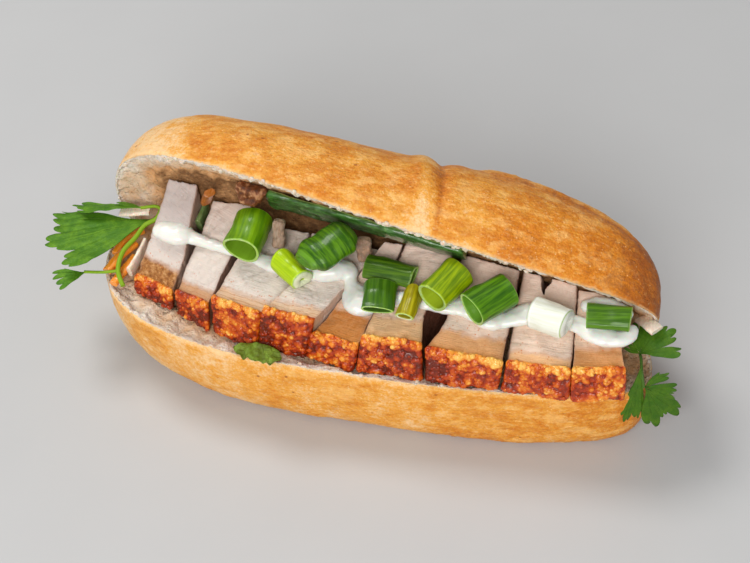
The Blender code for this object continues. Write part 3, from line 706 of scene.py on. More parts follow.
def bread_borders(roll):
    """The curved walls of the roll as grids: bottom and top crust, then bottom and top crumb.

    Each has its points, their angle round the crust, 1 for the top half, and how far they lie
    from the rim of the cut, below 0 on the crust.
    """
    stations, around, across = BREAD_GRID
    t = (np.sin(math.pi * (np.arange(stations) / (stations - 1.0) - 0.5)) * TIP)[:, None]
    angle = np.linspace(0.0, math.pi, around)[None, :]
    f = (np.linspace(0.0, 1.0, across) ** 1.5)[None, :]
    hangs = roll.hangs(t[:, 0])
    made = []
    for crust, top in itertools.product((True, False), (False, True)):
        y, z = roll.outer(t, angle, top) if crust else roll.inner(t, f, top)
        y, z = roll.open_out(t, y, z, top)
        grid = grid_of(t * roll.half, y, z)
        if not crust:
            split = made[top][0][:, -1]
            grid[:, -1] = np.where(hangs[:, None], grid[:, -1], split)
        length = np.linalg.norm(np.diff(grid, axis=1), axis=-1)
        ahead = np.concatenate([0.0 * t, np.cumsum(length, axis=1)], axis=1)
        behind = ahead[:, -1:] - ahead + NO_EDGE * (1.0 - roll.apart(t))
        rim = np.minimum(ahead, behind) * (-1.0 if crust else 1.0)
        made.append((grid, (angle if crust else 0.0) + 0.0 * y, 0.0 * y + top, rim))
    return hangs, made


def bread_mesh(roll):
    """The whole roll as one closed mesh, with a web of bread where the halves hang together."""
    stations, around, across = BREAD_GRID
    hangs, borders = bread_borders(roll)
    points, faces, starts = [], [], []
    total = 0
    for grid, _, _, _ in borders:
        starts.append(total)
        faces += grid_faces(grid.shape[0], grid.shape[1], total)
        points.append(grid.reshape(-1, 3))
        total += points[-1].shape[0]
    for i in range(stations - 1):
        ends = [(i + n) * around + around - 1 for n in (0, 1)]
        low, high = ([start + end for end in ends] for start in starts[:2])
        if hangs[i] and hangs[i + 1]:
            faces.append((low[0], low[1], high[1], high[0]))
        elif hangs[i] != hangs[i + 1]:
            n = 0 if hangs[i] else 1
            hinge = starts[2] + (i + n) * across + across - 1
            faces += [(hinge, low[n], low[1 - n]), (hinge, high[1 - n], high[n])]
            faces.append((hinge, high[n], low[n]))
    caps = []
    for i, half in itertools.product((0, stations - 1), (0, 1)):
        crust = [starts[half] + i * around + k for k in range(around)]
        crumb = [starts[2 + half] + i * across + k for k in range(across - 2, 0, -1)]
        loop = crust + crumb
        caps.append(np.concatenate(points)[loop].mean(axis=0))
        faces += [(total, a, b) for a, b in zip(loop, loop[1:] + loop[:1])]
        total += 1
    layers = {}
    for column, name, at_cap in ((1, "angle", 0.0), (2, "top", 0.0), (3, "rim", -4.0)):
        flat = [border[column].reshape(-1) for border in borders]
        layers[name] = np.concatenate([*flat, np.full(len(caps), at_cap)])
    return mesh_of("bread", np.concatenate([*points, np.array(caps)]), faces, layers)


def bread_relief(data, bread):
    """Blisters on the crust, hollows and torn lips on the crumb."""
    place = coordinates(data)
    x, z = place[:, 0], place[:, 2]
    rim = layer_of(data, "rim")
    near, own = cells(place, 2.6, 2)
    blister = rise(near, 0.55, 0.1) * rise(own, 0.45, 0.9) * rise(lumps(place, 11.0, 6), -0.2, 0.5)
    crust = bread.blister / MM * (1.6 * blister + 0.9 * rough(place, 3.2, 21, 2))
    crust = crust * rise(-rim, 0.0, 1.5) * rise(z, 0.2, 1.6)
    hole, own = cells(place, 3.4, 31)
    small, _ = cells(place, 1.7, 33)
    pits = 1.5 * rise(hole, 0.42, 0.12) * rise(own, 0.3, 0.6) + 0.55 * rise(small, 0.42, 0.1)
    flakes = np.abs(lumps(place * np.array((0.6, 1.3, 1.3)), 3.1, 41))
    crumb = (0.9 * rough(place, 4.5, 35, 3) + 0.7 * flakes - 0.8 * pits) * rise(rim, 0.4, 3.0)
    ragged = layer_of(data, "top") * rise(x, -84.0, -66.0) * rise(x, 78.0, 50.0)
    torn = bread.tear / MM * (1.0 + 0.9 * ragged)
    lip = torn * rise(rim, 0.1, 0.7) * rise(rim, 4.0, 1.2) * (0.35 + np.abs(lumps(place, 1.9, 43)))
    puff(data, np.where(rim <= 0.0, crust, crumb + lip))
    patchy = rise(lumps(place, 7.0, 44) + 0.7 * lumps(place, 2.4, 45), -0.25, 0.35)
    at_rim = rise(rim, 0.1, 0.5) * rise(rim, 2.6, 1.0)
    point_layer(data, "growth", at_rim * (0.25 + ragged) * patchy)


def bread_bake(data, roll):
    """How brown each place is, from 0 pale to 1 dark, with painted shade added."""
    place = coordinates(data)
    x, z = place[:, 0], place[:, 2]
    angle = layer_of(data, "angle")
    top = layer_of(data, "top")
    rim = -layer_of(data, "rim")
    off = x - roll.crease(angle)
    ridge = rise(x, 28.0, 36.0) * rise(x, 99.0, 88.0)

    # Top half: browner to the right, pale beside the fold line with painted shade in it, then the
    # ridge.
    upper = 0.52 + 0.0016 * x - 0.34 * rise(-x, 52.0, 96.0) + 0.36 * rise(x, 82.0, 99.0)
    upper -= 0.42 * bell((off + 5.0) / 3.6) * mixed(0.35, 1.0, rise(angle, 1.3, 0.2))
    # Painted shade in the fold line.
    upper += 0.32 * bell(off / 1.2)
    upper -= 0.30 * bell((off - 12.0) / 8.0) * rise(angle, 0.62, 0.2)
    upper += 0.16 * rise(x, 40.0, 95.0) * rise(angle, 1.0, 2.0) + 0.25 * rise(x, 70.0, 100.0)
    # Painted shadow along the foot of the ridge; the ridge itself is paler.
    upper += 0.26 * ridge * bell((angle - 1.12) / 0.07)
    upper -= 0.34 * ridge * bell((angle - 1.45) / 0.22)

    # Bottom half, then what both share: paler at the rim, and mottled.
    under = 0.26 + 0.0010 * x + 0.26 * rise(x, 70.0, 98.0) + 0.16 * rise(z, 3.0, 0.5)
    bake = mixed(under, upper, top)
    bake -= 0.24 * bell(rim / 1.6)
    bake += (
        0.13 * lumps(place, 19.0, 51) + 0.10 * lumps(place, 7.0, 52)
        + 0.06 * lumps(place, 2.6, 53))

    # Crumb: darker away from the rim, with painted shade deep towards the hinge, both less at the
    # left end of the top half.
    lobe = top * rise(-x, 74.0, 92.0)
    inner = 0.12 + mixed(0.27, 0.38, top) * rise(-rim, 1.5, 8.0) - 0.12 * lobe
    # Painted shade deep in the crumb towards the hinge, stronger in the top half.
    inner += 0.5 * mixed(0.3, 1.0, top) * rise(-rim, 7.0, 16.0) * (1.0 - lobe)
    toasted = 0.15 * (1.0 - top) * rise(x, 84.0, 93.0) + 0.16 * lumps(place, 5.0, 54)
    inner += toasted + 0.10 * lumps(place, 1.8, 55)
    bake = np.where(rim < 0.0, inner, bake)
    point_layer(data, "bake", np.clip(bake, 0.0, 1.0))


# Colours of the small marks on the crust, some of them painted glints, and the painted shade of the
# deepest crumb.
FLOUR = (1.0, 0.74, 0.40)
PALE_STREAK, DARK_STREAK = (1.0, 0.62, 0.24), (0.52, 0.14, 0.008)
PALE_CLOUD, DARK_CLOUD = (1.0, 0.60, 0.20), (0.56, 0.15, 0.008)
CRUMB_PIT = (0.22, 0.10, 0.035)


def bread_finish(bread):
    """Speckled crust that turns to torn crumb at the rim of the cut."""
    f = Finish(
        "bread", Subsurface_Weight=0.10, Subsurface_Scale=0.0015, Specular_IOR_Level=0.3,
        Subsurface_Radius=(1.0, 0.5, 0.25))
    p = f.place()
    drawn = f.place((0.5, 1.0, 1.0))
    bake = f.layer("bake")
    fine = f.noise(p, 1.1, 4.0, 0.6)
    broad = f.noise(p, 0.12, 3.0, 0.6)
    patch = f.noise(p, 0.38, 3.0, 0.6)
    shade = bake + (fine - 0.5) * 0.70 + (broad - 0.5) * 0.40 + (patch - 0.5) * 0.50
    scuff = f.noise(f.place((0.35, 1.0, 1.0)), 0.55, 4.0, 0.7)
    crust = f.ramp(
        shade + (scuff - 0.5) * 0.62,
        (0.0, bread.pale), (0.30, bread.golden), (0.62, bread.amber), (1.0, bread.brown))
    # Pale specks: flour together with painted glints.
    flour = f.dots(p, 0.75).over(0.26, 0.10) * f.noise(p, 0.35, 3.0).over(0.46, 0.60)
    baked = bake.over(0.20, 0.42)
    clear = bake.over(0.90, 0.45) * baked
    streaks = f.noise(drawn, 0.75, 5.0, 0.7)
    clouds = f.noise(drawn, 0.2, 4.0, 0.6)
    fleck = f.dots(p, 0.42).over(0.22, 0.08) * f.noise(p, 0.25, 2.0).over(0.50, 0.66)
    spot = f.dots(p, 0.13).over(0.10, 0.05) * f.noise(p, 0.05, 1.0).over(0.5, 0.62)
    rim = f.layer("rim") + (f.noise(p, 0.55, 3.0, 0.6) - 0.46) * 2.6
    inside = rim.over(0.0, 0.35)
    crust = f.coats(
        crust,
        (flour * 0.50, FLOUR),
        # Pale streaks, partly painted glints.
        (streaks.over(0.52, 0.68) * (clear * 0.35 + 0.15) * baked, PALE_STREAK),
        (streaks.over(0.48, 0.34) * baked * 0.40, DARK_STREAK),
        (clouds.over(0.51, 0.64) * clear * 0.42, PALE_CLOUD),
        (clouds.over(0.49, 0.36) * baked * 0.42, DARK_CLOUD),
        (fleck * 0.35, bread.amber),
        (spot * 0.75, bread.brown),
        (rim.over(-1.1, -0.1) * 0.5, bread.pale),
    )
    # Crumb darkens away from the rim; its darkest stop is painted shade.
    crumb = f.ramp(
        bake + (f.noise(p, 0.35, 4.0, 0.6) - 0.5) * 0.5,
        (0.05, bread.crumb), (0.4, bread.crumb_mid), (0.72, bread.crumb_shade), (1.0, CRUMB_PIT))
    skin = f.dots(p, 0.85).over(0.0, 0.6) * 0.35 + f.noise(p, 0.9, 5.0, 0.65)
    skin = skin + f.noise(p, 3.2, 2.0, 0.5) * 0.3
    pores = f.noise(p, 1.3, 5.0, 0.7) * 1.5 + f.dots(p, 0.7).over(0.0, 0.5)
    height = (skin * 0.30 + patch * 0.5 + streaks * baked * 0.35) * (1.0 - inside)
    height = height + pores * inside * 0.42
    roughness = inside * 0.4 + 0.46 + (fine - 0.5) * 0.25
    return f.feed(
        Base_Color=f.mix(inside, crust, crumb), Roughness=roughness.within(),
        Normal=f.bump(height, 1.0))


def crumb_finish(bread):
    """Loose crumb that was torn off the rim of the cut."""
    f = Finish("torn_crumb", Subsurface_Weight=0.2, Subsurface_Scale=0.0015, Roughness=0.8)
    grain = f.noise(f.place(), 1.2, 4.0, 0.7)
    share = grain.over(0.35, 0.6) * (f.layer("tone") * 0.5 + 0.5)
    colour = f.mix(share, bread.crumb_mid, bread.crumb)
    return f.feed(Base_Color=colour, Normal=f.bump(grain, 0.6))


class PORK_ROLL_OT_bread(bpy.types.Operator):
    """Make the split bread roll with its crust and torn crumb"""

    bl_idname = "pork_roll.bread"
    bl_label = "Bread roll"

    def execute(self, context):
        bread = context.scene.pork_roll_bread
        roll = Roll(bread)
        data = bread_mesh(roll)
        bread_bake(data, roll)
        bread_relief(data, bread)
        stand_for(show("bread", data, bread_finish(bread)), "bread_roll")
        tufts = grown(
            "tufts", data, scattered_beads, Material=crumb_finish(bread), Density=520000.0,
            Seed=bread.seed, Least=0.25 * MM, Most=1.05 * MM, Flat=0.6, Sink=0.05)
        roughen(tufts, (0.16, 0.9, 46), (0.12, 0.45, 47))
        stand_for(link("torn_rim", tufts), "bread_roll")
        return {"FINISHED"}


# ---------------------------------------------------------------- shared shapes


def box_shell(*counts):
    """Shares from 0 to 1 over the six faces of a box of counts cells, and the quads between."""
    shares, faces = [], []
    total = 0
    for axis in range(3):
        a, b = [n for n in range(3) if n != axis]
        for end in (0.0, 1.0):
            grid = np.zeros((counts[a] + 1, counts[b] + 1, 3))
            grid[..., axis] = end
            grid[..., a] = (np.arange(counts[a] + 1) / counts[a])[:, None]
            grid[..., b] = (np.arange(counts[b] + 1) / counts[b])[None, :]
            faces += grid_faces(counts[a] + 1, counts[b] + 1, total)
            shares.append(grid.reshape(-1, 3))
            total += len(shares[-1])
    return np.concatenate(shares), faces


def rounded(points, half, radius):
    """Pull the points of a box in to a box with rounded edges."""
    inner = np.clip(points, radius - half, half - radius)
    away = points - inner
    length = np.linalg.norm(away, axis=-1, keepdims=True)
    return inner + away * np.minimum(1.0, radius / np.maximum(length, 1e-9))


def together(parts):
    """Several (points, faces, layers) in one."""
    points, faces = [], []
    total = 0
    for some, ring, _ in parts:
        faces += [tuple(n + total for n in face) for face in ring]
        points.append(some)
        total += len(some)
    layers = {name: np.concatenate([part[2][name] for part in parts]) for name in parts[0][2]}
    return np.concatenate(points), faces, layers


def evaluated(holder):
    """The plain mesh that an object's modifiers make; the object goes."""
    bpy.context.view_layer.update()
    graph = bpy.context.evaluated_depsgraph_get()
    made = bpy.data.meshes.new_from_object(holder.evaluated_get(graph))
    bpy.data.objects.remove(holder, do_unlink=True)
    return made


def grown(name, ground, build, **inputs):
    """The plain mesh that a Geometry Nodes tree makes from a ground mesh."""
    tree = bpy.data.node_groups.new(name, "GeometryNodeTree")
    for way in ("OUTPUT", "INPUT"):
        tree.interface.new_socket("Geometry", in_out=way, socket_type="NodeSocketGeometry")
    kinds = {int: "Int", float: "Float", bpy.types.Material: "Material"}
    for key, value in inputs.items():
        kind = "NodeSocket" + kinds[type(value)]
        tree.interface.new_socket(key, in_out="INPUT", socket_type=kind)
    sheet = Sheet(tree)
    entry = tree.nodes.new("NodeGroupInput")
    taken = {key: Value(sheet, entry.outputs[key]) for key in ("Geometry", *inputs)}
    last = build(sheet, **taken)
    leave = tree.nodes.new("NodeGroupOutput")
    tree.links.new(last.socket, leave.inputs["Geometry"])
    holder = link(name, ground.copy())
    modifier = holder.modifiers.new("grow", "NODES")
    modifier.node_group = tree
    for item in tree.interface.items_tree:
        if item.in_out == "INPUT" and item.name in inputs:
            modifier[item.identifier] = inputs[item.name]
    data = evaluated(holder)
    if not data.polygons:
        raise RuntimeError("%s grew nothing" % name)
    return data


# Beads: how much longer than wide, and the largest turn.
BEAD_LONG = (0.8, 1.35)
BEAD_TURN = 6.28


def scattered_beads(sheet, Geometry, Material, Density, Seed, Least, Most, Flat, Sink):
    """Small uneven beads over the faces where the point layer named growth is above 0."""

    def drawn(low, high, step):
        inputs = {2: low, 3: high, "Seed": Seed + step}
        return sheet.node("FunctionNodeRandomValue", {"data_type": "FLOAT"}, inputs, 1)

    growth = sheet.node(
        "GeometryNodeInputNamedAttribute", {"data_type": "FLOAT"}, {"Name": "growth"})
    spots = sheet.node(
        "GeometryNodeDistributePointsOnFaces", {"distribute_method": "RANDOM"},
        {"Mesh": Geometry, "Density": growth * Density, "Seed": Seed})
    normal = Value(sheet, spots.socket.node.outputs["Normal"])
    bead = sheet.node("GeometryNodeMeshIcoSphere", {}, {"Radius": 1.0, "Subdivisions": 2})
    bead = sheet.node("GeometryNodeSetShadeSmooth", {}, {"Geometry": bead})
    bulk = drawn(Least, Most, 1)
    sizes = sheet.node(
        "ShaderNodeCombineXYZ", {}, {0: bulk * drawn(*BEAD_LONG, 2), 1: bulk, 2: bulk * Flat})
    facing = sheet.node("FunctionNodeAlignRotationToVector", {"axis": "Z"}, {"Vector": normal})
    around = sheet.node(
        "FunctionNodeAxisAngleToRotation", {},
        {"Axis": (0.0, 0.0, 1.0), "Angle": drawn(0.0, BEAD_TURN, 3)})
    facing = sheet.node(
        "FunctionNodeRotateRotation", {"rotation_space": "LOCAL"}, {0: facing, 1: around})
    sunk = sheet.node(
        "ShaderNodeVectorMath", {"operation": "SCALE"}, {0: normal, "Scale": bulk * Sink})
    spots = sheet.node("GeometryNodeSetPosition", {}, {"Geometry": spots, "Offset": sunk})
    placed = sheet.node(
        "GeometryNodeInstanceOnPoints", {},
        {"Points": spots, "Instance": bead, "Rotation": facing, "Scale": sizes})
    placed = sheet.node(
        "GeometryNodeStoreNamedAttribute", {"data_type": "FLOAT", "domain": "INSTANCE"},
        {"Geometry": placed, "Name": "tone", "Value": drawn(0.0, 1.0, 4)})
    solid = sheet.node("GeometryNodeRealizeInstances", {}, {0: placed})
    return sheet.node(
        "GeometryNodeSetMaterial", {}, {"Geometry": solid, "Material": Material})


# ---------------------------------------------------------------- pork


# Knife lines: X at the rind, Y at the rind, X at the back, lean, and the gap at the rind,
# at the back and between.
KNIVES = (
    (-85.2, -8.5, -80.6, 0.10, 0.5, 0.5, 0.0), (-67.5, -14.3, -64.0, 0.0, 1.6, 4.4, -1.4),
    (-52.2, -20.6, -45.9, 0.06, 1.6, 3.0, 0.0), (-34.0, -25.4, -16.9, 0.167, 0.5, 0.9, 0.0),
    (-16.5, -25.4, -1.8, 0.205, 0.6, 0.9, 0.0), (1.9, -28.2, 7.6, 0.15, 0.6, 0.9, 0.0),
    (26.0, -28.0, 30.8, 0.0, 0.8, 3.2, 5.6), (51.8, -27.6, 49.7, 0.14, 1.3, 1.4, 0.0),
    (75.6, -27.4, 72.8, 0.0, 0.5, 0.6, 0.0), (93.4, -24.0, 85.4, 0.0, 0.5, 0.5, 0.0),
)

# Slices: back Y, underside, height at the rind, extra height behind, tilt, fat depth, pinkness,
# toasting, side browning with painted shade, and scorching of the rind at the left and at the
# right.
SLICES = (
    (24.0, 33.2, 6.5, 23.0, 0.0, 8.5, 0.10, 1.00, 0.50, 0.75, 0.70),
    (21.0, 31.8, 10.0, 14.5, 1.2, 6.0, 0.05, 0.60, 0.80, 1.10, 0.82),
    (12.0, 30.6, 16.5, 6.5, 0.0, 6.5, 0.05, 0.22, 0.40, 0.42, 0.32),
    (9.0, 30.0, 19.5, 4.0, -1.2, 6.0, 0.12, 0.12, 0.10, 1.06, 0.68),
    (9.0, 31.0, 10.5, 15.0, 0.0, 12.0, 0.80, 1.00, 0.30, 0.70, 0.32),
    (8.5, 31.2, 15.5, 11.0, 0.0, 10.0, 0.80, 0.05, 1.00, 0.25, 0.65),
    (8.0, 31.4, 13.0, 12.5, -1.0, 9.0, 0.60, 0.60, 0.80, 1.25, -0.24),
    (5.0, 31.8, 12.0, 12.5, 0.0, 5.5, 0.70, 0.28, 0.60, 0.25, 0.15),
    (1.0, 31.6, 13.0, 9.5, 0.0, 8.5, 1.10, 0.80, 0.20, 0.05, 0.05),
)
SLICE_GRID = (76, 84, 60)
FRONT_DENSE = 1.5       # power that draws the grid's points to the rind
TOP_CURVE = 1.3         # power by which the top climbs behind the rind
BELLY_AT, BELLY_WIDE = 0.35, 0.2        # where a gap bellies out, and over how much

# Cracks in the top by slice: share across at the front and at the back, where they start,
# half width at the back and depth.
CRACKS = {2: (0.80, 0.66, 0.42, 0.35, 1.0), 7: (0.37, 0.42, 0.78, 1.5, 5.0)}

KNIFE_EDGE = 0.55       # radius of a slice's edges
BEHIND_GAP = 1.2        # between a slice and the crumb behind it
UNDER_GAP = 1.1         # between a slice and the crumb under it
SLICE_APART = 37.0      # how far apart the slices lie in the noise that shapes them
GRAIN_APART = 17.0      # and in their material


def knife_line(n, v, high):
    """X of a knife line and half its gap, v from rind to back and high above the underside."""
    front, _, back, lean, near, far, belly = KNIVES[n]
    gap = mixed(near, far, v) + belly * bell((v - BELLY_AT) / BELLY_WIDE)
    return mixed(front, back, v) + lean * high, gap / 2.0


def pork_top(x, y):
    """Height of the pork's top at this place."""
    for n, (back, rest, low, extra, *_) in enumerate(SLICES):
        near = (KNIVES[n][1] + KNIVES[n + 1][1]) / 2.0
        v = (y - near) / (back - near)
        tall = low + extra * min(max(v, 0.0), 1.0) ** TOP_CURVE
        if x <= knife_line(n + 1, v, tall)[0] or n == len(SLICES) - 1:
            return rest + tall


def slice_mesh(roll, n, pork):
    """One slice of pork: crackled rind in front, then fat, then lean."""
    back, rest, low, extra, tilt, fat, pink, toast, flank, char_left, char_right = SLICES[n]
    shares, faces = box_shell(*SLICE_GRID)
    u, v, w = shares[:, 0], shares[:, 1] ** FRONT_DENSE, shares[:, 2]
    tall = low + extra * v ** TOP_CURVE
    x0 = sum(knife_line(n, v, w * tall))
    x1, room = knife_line(n + 1, v, w * tall)
    x1 = x1 - room
    near = mixed(KNIVES[n][1], KNIVES[n + 1][1], u)
    half = grid_of((x1 - x0) / 2.0, (back - near) / 2.0, tall / 2.0)
    p = rounded((grid_of(u, v, w) - 0.5) * 2.0 * half, half, KNIFE_EDGE)
    place = grid_of((x0 + x1) / 2.0, near + half[:, 1], rest + half[:, 2]) + p
    depth = p[:, 1] + half[:, 1]
    down = half[:, 2] - p[:, 2]
    place[:, 1] += 1.5 * (w - 0.5) * rise(depth, 6.0, 0.0)
    place[:, 2] += tilt * (2.0 * u - 1.0) * w
    where = place + SLICE_APART * n
    uneven = 0.45 * lumps(where, 7.0, 61) + 0.22 * lumps(where, 2.4, 62)
    place[:, 2] += rise(w, 0.8, 1.0) * uneven
    place[:, 0] += 0.22 * lumps(where, 5.0, 63) * np.abs(2.0 * u - 1.0)
    gash = 0.0 * u
    if n in CRACKS:
        u0, u1, start, wide, deep = CRACKS[n]
        off = (u - mixed(u0, u1, v) + 0.012 * np.sin(31.0 * v)) * 2.0 * half[:, 0]
        open_by = np.maximum(wide * rise(v, start, 1.0), 1e-3) + 0.12
        gash = rise(np.abs(off), 1.4 * open_by, 0.5 * open_by) * rise(v, start, start + 0.06)
        place[:, 2] -= deep * gash * rise(w, 0.75, 1.0)
    behind = roll.wall(place[:, 0], np.maximum(place[:, 2], rest + 3.0)) - BEHIND_GAP
    place[:, 1] += np.minimum(behind - back, 0.0) * smooth(v * 1.05)
    place[:, 2] = np.maximum(place[:, 2], roll.ground(place[:, 0], place[:, 1]) + UNDER_GAP)
    layers = {
        "meat": grid_of(p[:, 0], depth, down), "depth": depth, "down": down, "gash": gash,
        "side": np.abs(2.0 * u - 1.0) ** 14,
        "char": mixed(char_left, char_right, smooth(u * 1.6)),
    }
    even = {"fat": fat, "pink": pink, "toast": toast, "flank": flank, "offset": GRAIN_APART * n}
    layers.update({name: np.full(len(place), value) for name, value in even.items()})
    data = mesh_of("slice", place, faces, layers)
    crackle(data, pork, n)
    return data


# Spacing of the large and of the small bubbles, as shares of the pork's bubble size.
DOME_CELL, BEAD_CELL = 1.45, 0.8


def crackle(data, pork, n):
    """Raise the rind into bubbles, score the meat along its grain and mark the dark rind."""
    place = coordinates(data)
    depth, down, fat = (layer_of(data, name) for name in ("depth", "down", "fat"))
    where = place + SLICE_APART * n
    bubble = pork.bubble / MM
    near, own = cells(where, bubble * DOME_CELL, 71)
    dome = domed(near, 0.72) * (0.45 + 0.75 * own)
    near, own = cells(where, bubble * BEAD_CELL, 73)
    bead = domed(near, 0.7) * (0.3 + 0.7 * own)
    skin = rise(depth + 0.5 * lumps(where, 2.0, 75), 2.3, 0.9)
    height = pork.relief / MM * (dome + 0.42 * bead) + 0.5 * lumps(where, 4.6, 74)
    along = grid_of(place[:, 0], depth, down) * np.array((0.16, 1.0, 0.45))
    grain = np.abs(lumps(along + 9.0 * n, 1.5, 76))
    crack = rise(grain, 0.16, 0.02) * rise(lumps(where, 6.0, 77), -0.2, 0.5)
    torn = 0.16 * lumps(where, 1.3, 78) - 0.38 * crack
    side = rise(layer_of(data, "side"), 0.85, 0.12)
    lean = rise(depth, fat - 1.5, fat + 1.0)
    crumbly = rise(layer_of(data, "toast"), 0.9, 1.0) * (1.0 if n == 0 else 0.3)
    soft = 0.45 * crumbly * lumps(where, 1.5, 79) - 0.25
    meat = torn * lean + soft * (1.0 - lean)
    puff(data, height * skin * (0.2 + 0.8 * side) + (1.0 - skin) * meat)
    roast = 0.395 + 0.30 * lumps(where, 4.2, 171) + 0.20 * lumps(where, 1.8, 172)
    # Lighter on bubble crowns and darker between them: roasting colour together with painted light
    # and shade of the bubbles.
    roast = roast + 0.42 * (dome + 0.5 * bead - 0.62) - 0.36 * layer_of(data, "char")
    roast = roast + 0.40 * rise(down + 0.9 * lumps(where, 2.0, 173), 2.6, 0.3)
    point_layer(data, "roast", roast)
    patches = rise(lumps(where, 3.4, 174), -0.8, -0.1)
    grow = rise(depth, 1.6, 0.3) * (0.7 + 0.7 * bell(down / 2.4)) * patches
    point_layer(data, "growth", grow * side * rise(down, 22.0, 16.0))


def rind_colour(f, pork, roast):
    """From scorched, where roast is 0, to honey where it is 1."""
    return f.ramp(
        roast, (0.0, pork.scorch), (0.24, pork.ember), (0.48, pork.amber), (0.74, pork.gold),
        (1.0, pork.honey))


# Colours of the small marks in the fat and in the lean meat, and of the painted shade on the first
# slice and in the cracks.
FAT_STRATA, FAT_SEAM = (0.80, 0.60, 0.43), (0.44, 0.17, 0.06)
FAT_OUTER, FAT_INNER, FAT_BROWNED = (0.62, 0.30, 0.09), (0.90, 0.56, 0.29), (0.56, 0.20, 0.035)
FAT_CRUMBS = (
    (0.36, (0.16, 0.045, 0.008)), (0.5, (0.40, 0.16, 0.035)), (0.62, (0.62, 0.34, 0.14)))
SHADED_LEAN, PALE_STRATA = (0.40, 0.35, 0.35), (0.93, 0.84, 0.76)
FIBRE, THREAD, ROSY = (0.62, 0.46, 0.39), (0.50, 0.35, 0.28), (0.80, 0.50, 0.34)
FAT_LINE, RUSTY_DUST = (0.50, 0.25, 0.15), (0.62, 0.16, 0.02)
SEARED_PALE, GASH = (0.62, 0.40, 0.28), (0.045, 0.012, 0.005)


def pork_finish(pork):
    """Crackling, fat and lean in one material, told apart by depth from the rind."""
    f = Finish(
        "roast_pork", Subsurface_Weight=0.12, Subsurface_Scale=0.0015, Specular_IOR_Level=0.3,
        Coat_Roughness=0.1, Subsurface_Radius=(1.0, 0.45, 0.3))
    shift = f.node("ShaderNodeCombineXYZ", {}, {0: f.layer("offset")})
    p = f.vectors("ADD", f.layer_place("meat"), shift)
    depth, fat, pink = f.layer("depth"), f.layer("fat"), f.layer("pink")
    toast, flank = f.layer("toast"), f.layer("flank")
    blotch = f.noise(p, 0.22, 3.0, 0.6)
    mottle = f.noise(p, 0.75, 4.0, 0.6)
    fine = f.noise(p, 2.4, 3.0, 0.6)
    skin = rind_colour(f, pork, f.layer("roast") + (fine - 0.5) * 0.35)
    grain = f.vectors("MULTIPLY", p, (0.08, 1.2, 0.4))
    strata = f.noise(grain, 0.9, 4.0, 0.6)
    fibre = f.noise(grain, 1.6, 5.0, 0.7)
    thread = f.noise(grain, 4.2, 3.0, 0.6)
    crumbly = f.noise(p, 0.55, 5.0, 0.7)

    band = depth / fat
    near = (band + (strata - 0.5) * 0.7).over(0.55, 0.05)
    browned = toast * (strata * 0.9 + 0.45) + near * 0.42
    layered = pink.over(0.30, 0.10)
    tan = f.mix(browned, f.mix(strata.over(0.35, 0.65), pork.fat, FAT_STRATA), pork.toast)
    plain = f.mix((band + (blotch - 0.5) * 0.8).over(0.0, 0.7), FAT_OUTER, FAT_INNER)
    plain = f.mix(toast * (mottle * 0.8 + 0.5), plain, FAT_BROWNED)
    seam = ((depth * 3.4 + blotch * 7.0).sine() + fibre).over(1.25, 1.5)
    tan = f.coats(
        f.mix(layered * 0.8 + 0.12, plain, tan),
        (seam * layered * 0.5, FAT_SEAM),
        (toast.over(0.97, 1.0) * pink.over(0.5, 0.2) * 0.9, f.ramp(crumbly, *FAT_CRUMBS)),
    )

    first = f.layer("offset").over(8.0, 1.0)
    lean = f.coats(
        f.mix(pink * (blotch * 0.8 + 0.6), pork.lean, pork.blush),
        # Painted light towards the back of the slices, most on the pinker ones.
        ((depth + (blotch - 0.5) * 12.0).over(17.0, 33.0) * (pink * 0.6 + 0.4), pork.back),
        # Painted shade on the first slice, darker towards its back.
        (first * (depth.over(6.0, 26.0) * 0.45 + 0.12), SHADED_LEAN),
        (fibre.over(0.55, 0.72) * 0.22, FIBRE),
        (thread.over(0.63, 0.74) * 0.25, THREAD),
        (mottle.over(0.55, 0.75) * 0.35 * (pink + 0.25), ROSY),
        (strata.over(0.60, 0.72) * 0.5, PALE_STRATA),
    )

    edge = (depth - fat) + (f.noise(p, 0.28, 3.0) - 0.5) * 3.6
    dust = f.dots(p, 0.8).over(0.30, 0.12) * edge.over(-5.0, -0.5) * edge.over(8.0, 0.5)
    hide = (depth + (mottle - 0.5) * 1.6).over(2.1, 1.3)
    # Sides of a slice: from pale sear to the dark side colour, partly painted shade in the gaps.
    seared = f.mix(flank + (mottle - 0.5) * 0.5, SEARED_PALE, pork.wall)
    colour = f.coats(
        tan,
        (edge.over(-1.6, 1.2), lean),
        (edge.over(-1.2, 0.0) * edge.over(1.2, 0.0) * 0.3, FAT_LINE),
        (dust * blotch.over(0.45, 0.56) * 0.75, RUSTY_DUST),
        (f.layer("side") * (flank * 0.45 + 0.5), seared),
        (hide, skin),
        # Painted shade in the cracks of the top.
        (f.layer("gash"), GASH),
    )
    roughness = 0.42 - hide * 0.12 + (fine - 0.5) * 0.25
    torn = fibre * 0.8 + thread * 0.35 + crumbly * toast * 0.6
    relief = fine * 0.25 + mottle * hide * 0.5 + torn * (1.0 - hide)
    return f.feed(
        Base_Color=colour, Roughness=roughness.within(), Coat_Weight=hide * 0.3,
        Normal=f.bump(relief, 0.5))


def bubble_finish(pork):
    """Golden to amber blisters of fried rind."""
    f = Finish("crackling", Coat_Weight=0.35, Coat_Roughness=0.08, Specular_IOR_Level=0.3)
    spots = f.noise(f.place(), 1.8, 3.0)
    roast = f.layer("roast") + (f.layer("tone") - 0.25) * 0.42 + (spots - 0.5) * 0.3
    return f.feed(
        Base_Color=rind_colour(f, pork, roast), Roughness=0.24 + spots * 0.2,
        Normal=f.bump(spots, 0.3))


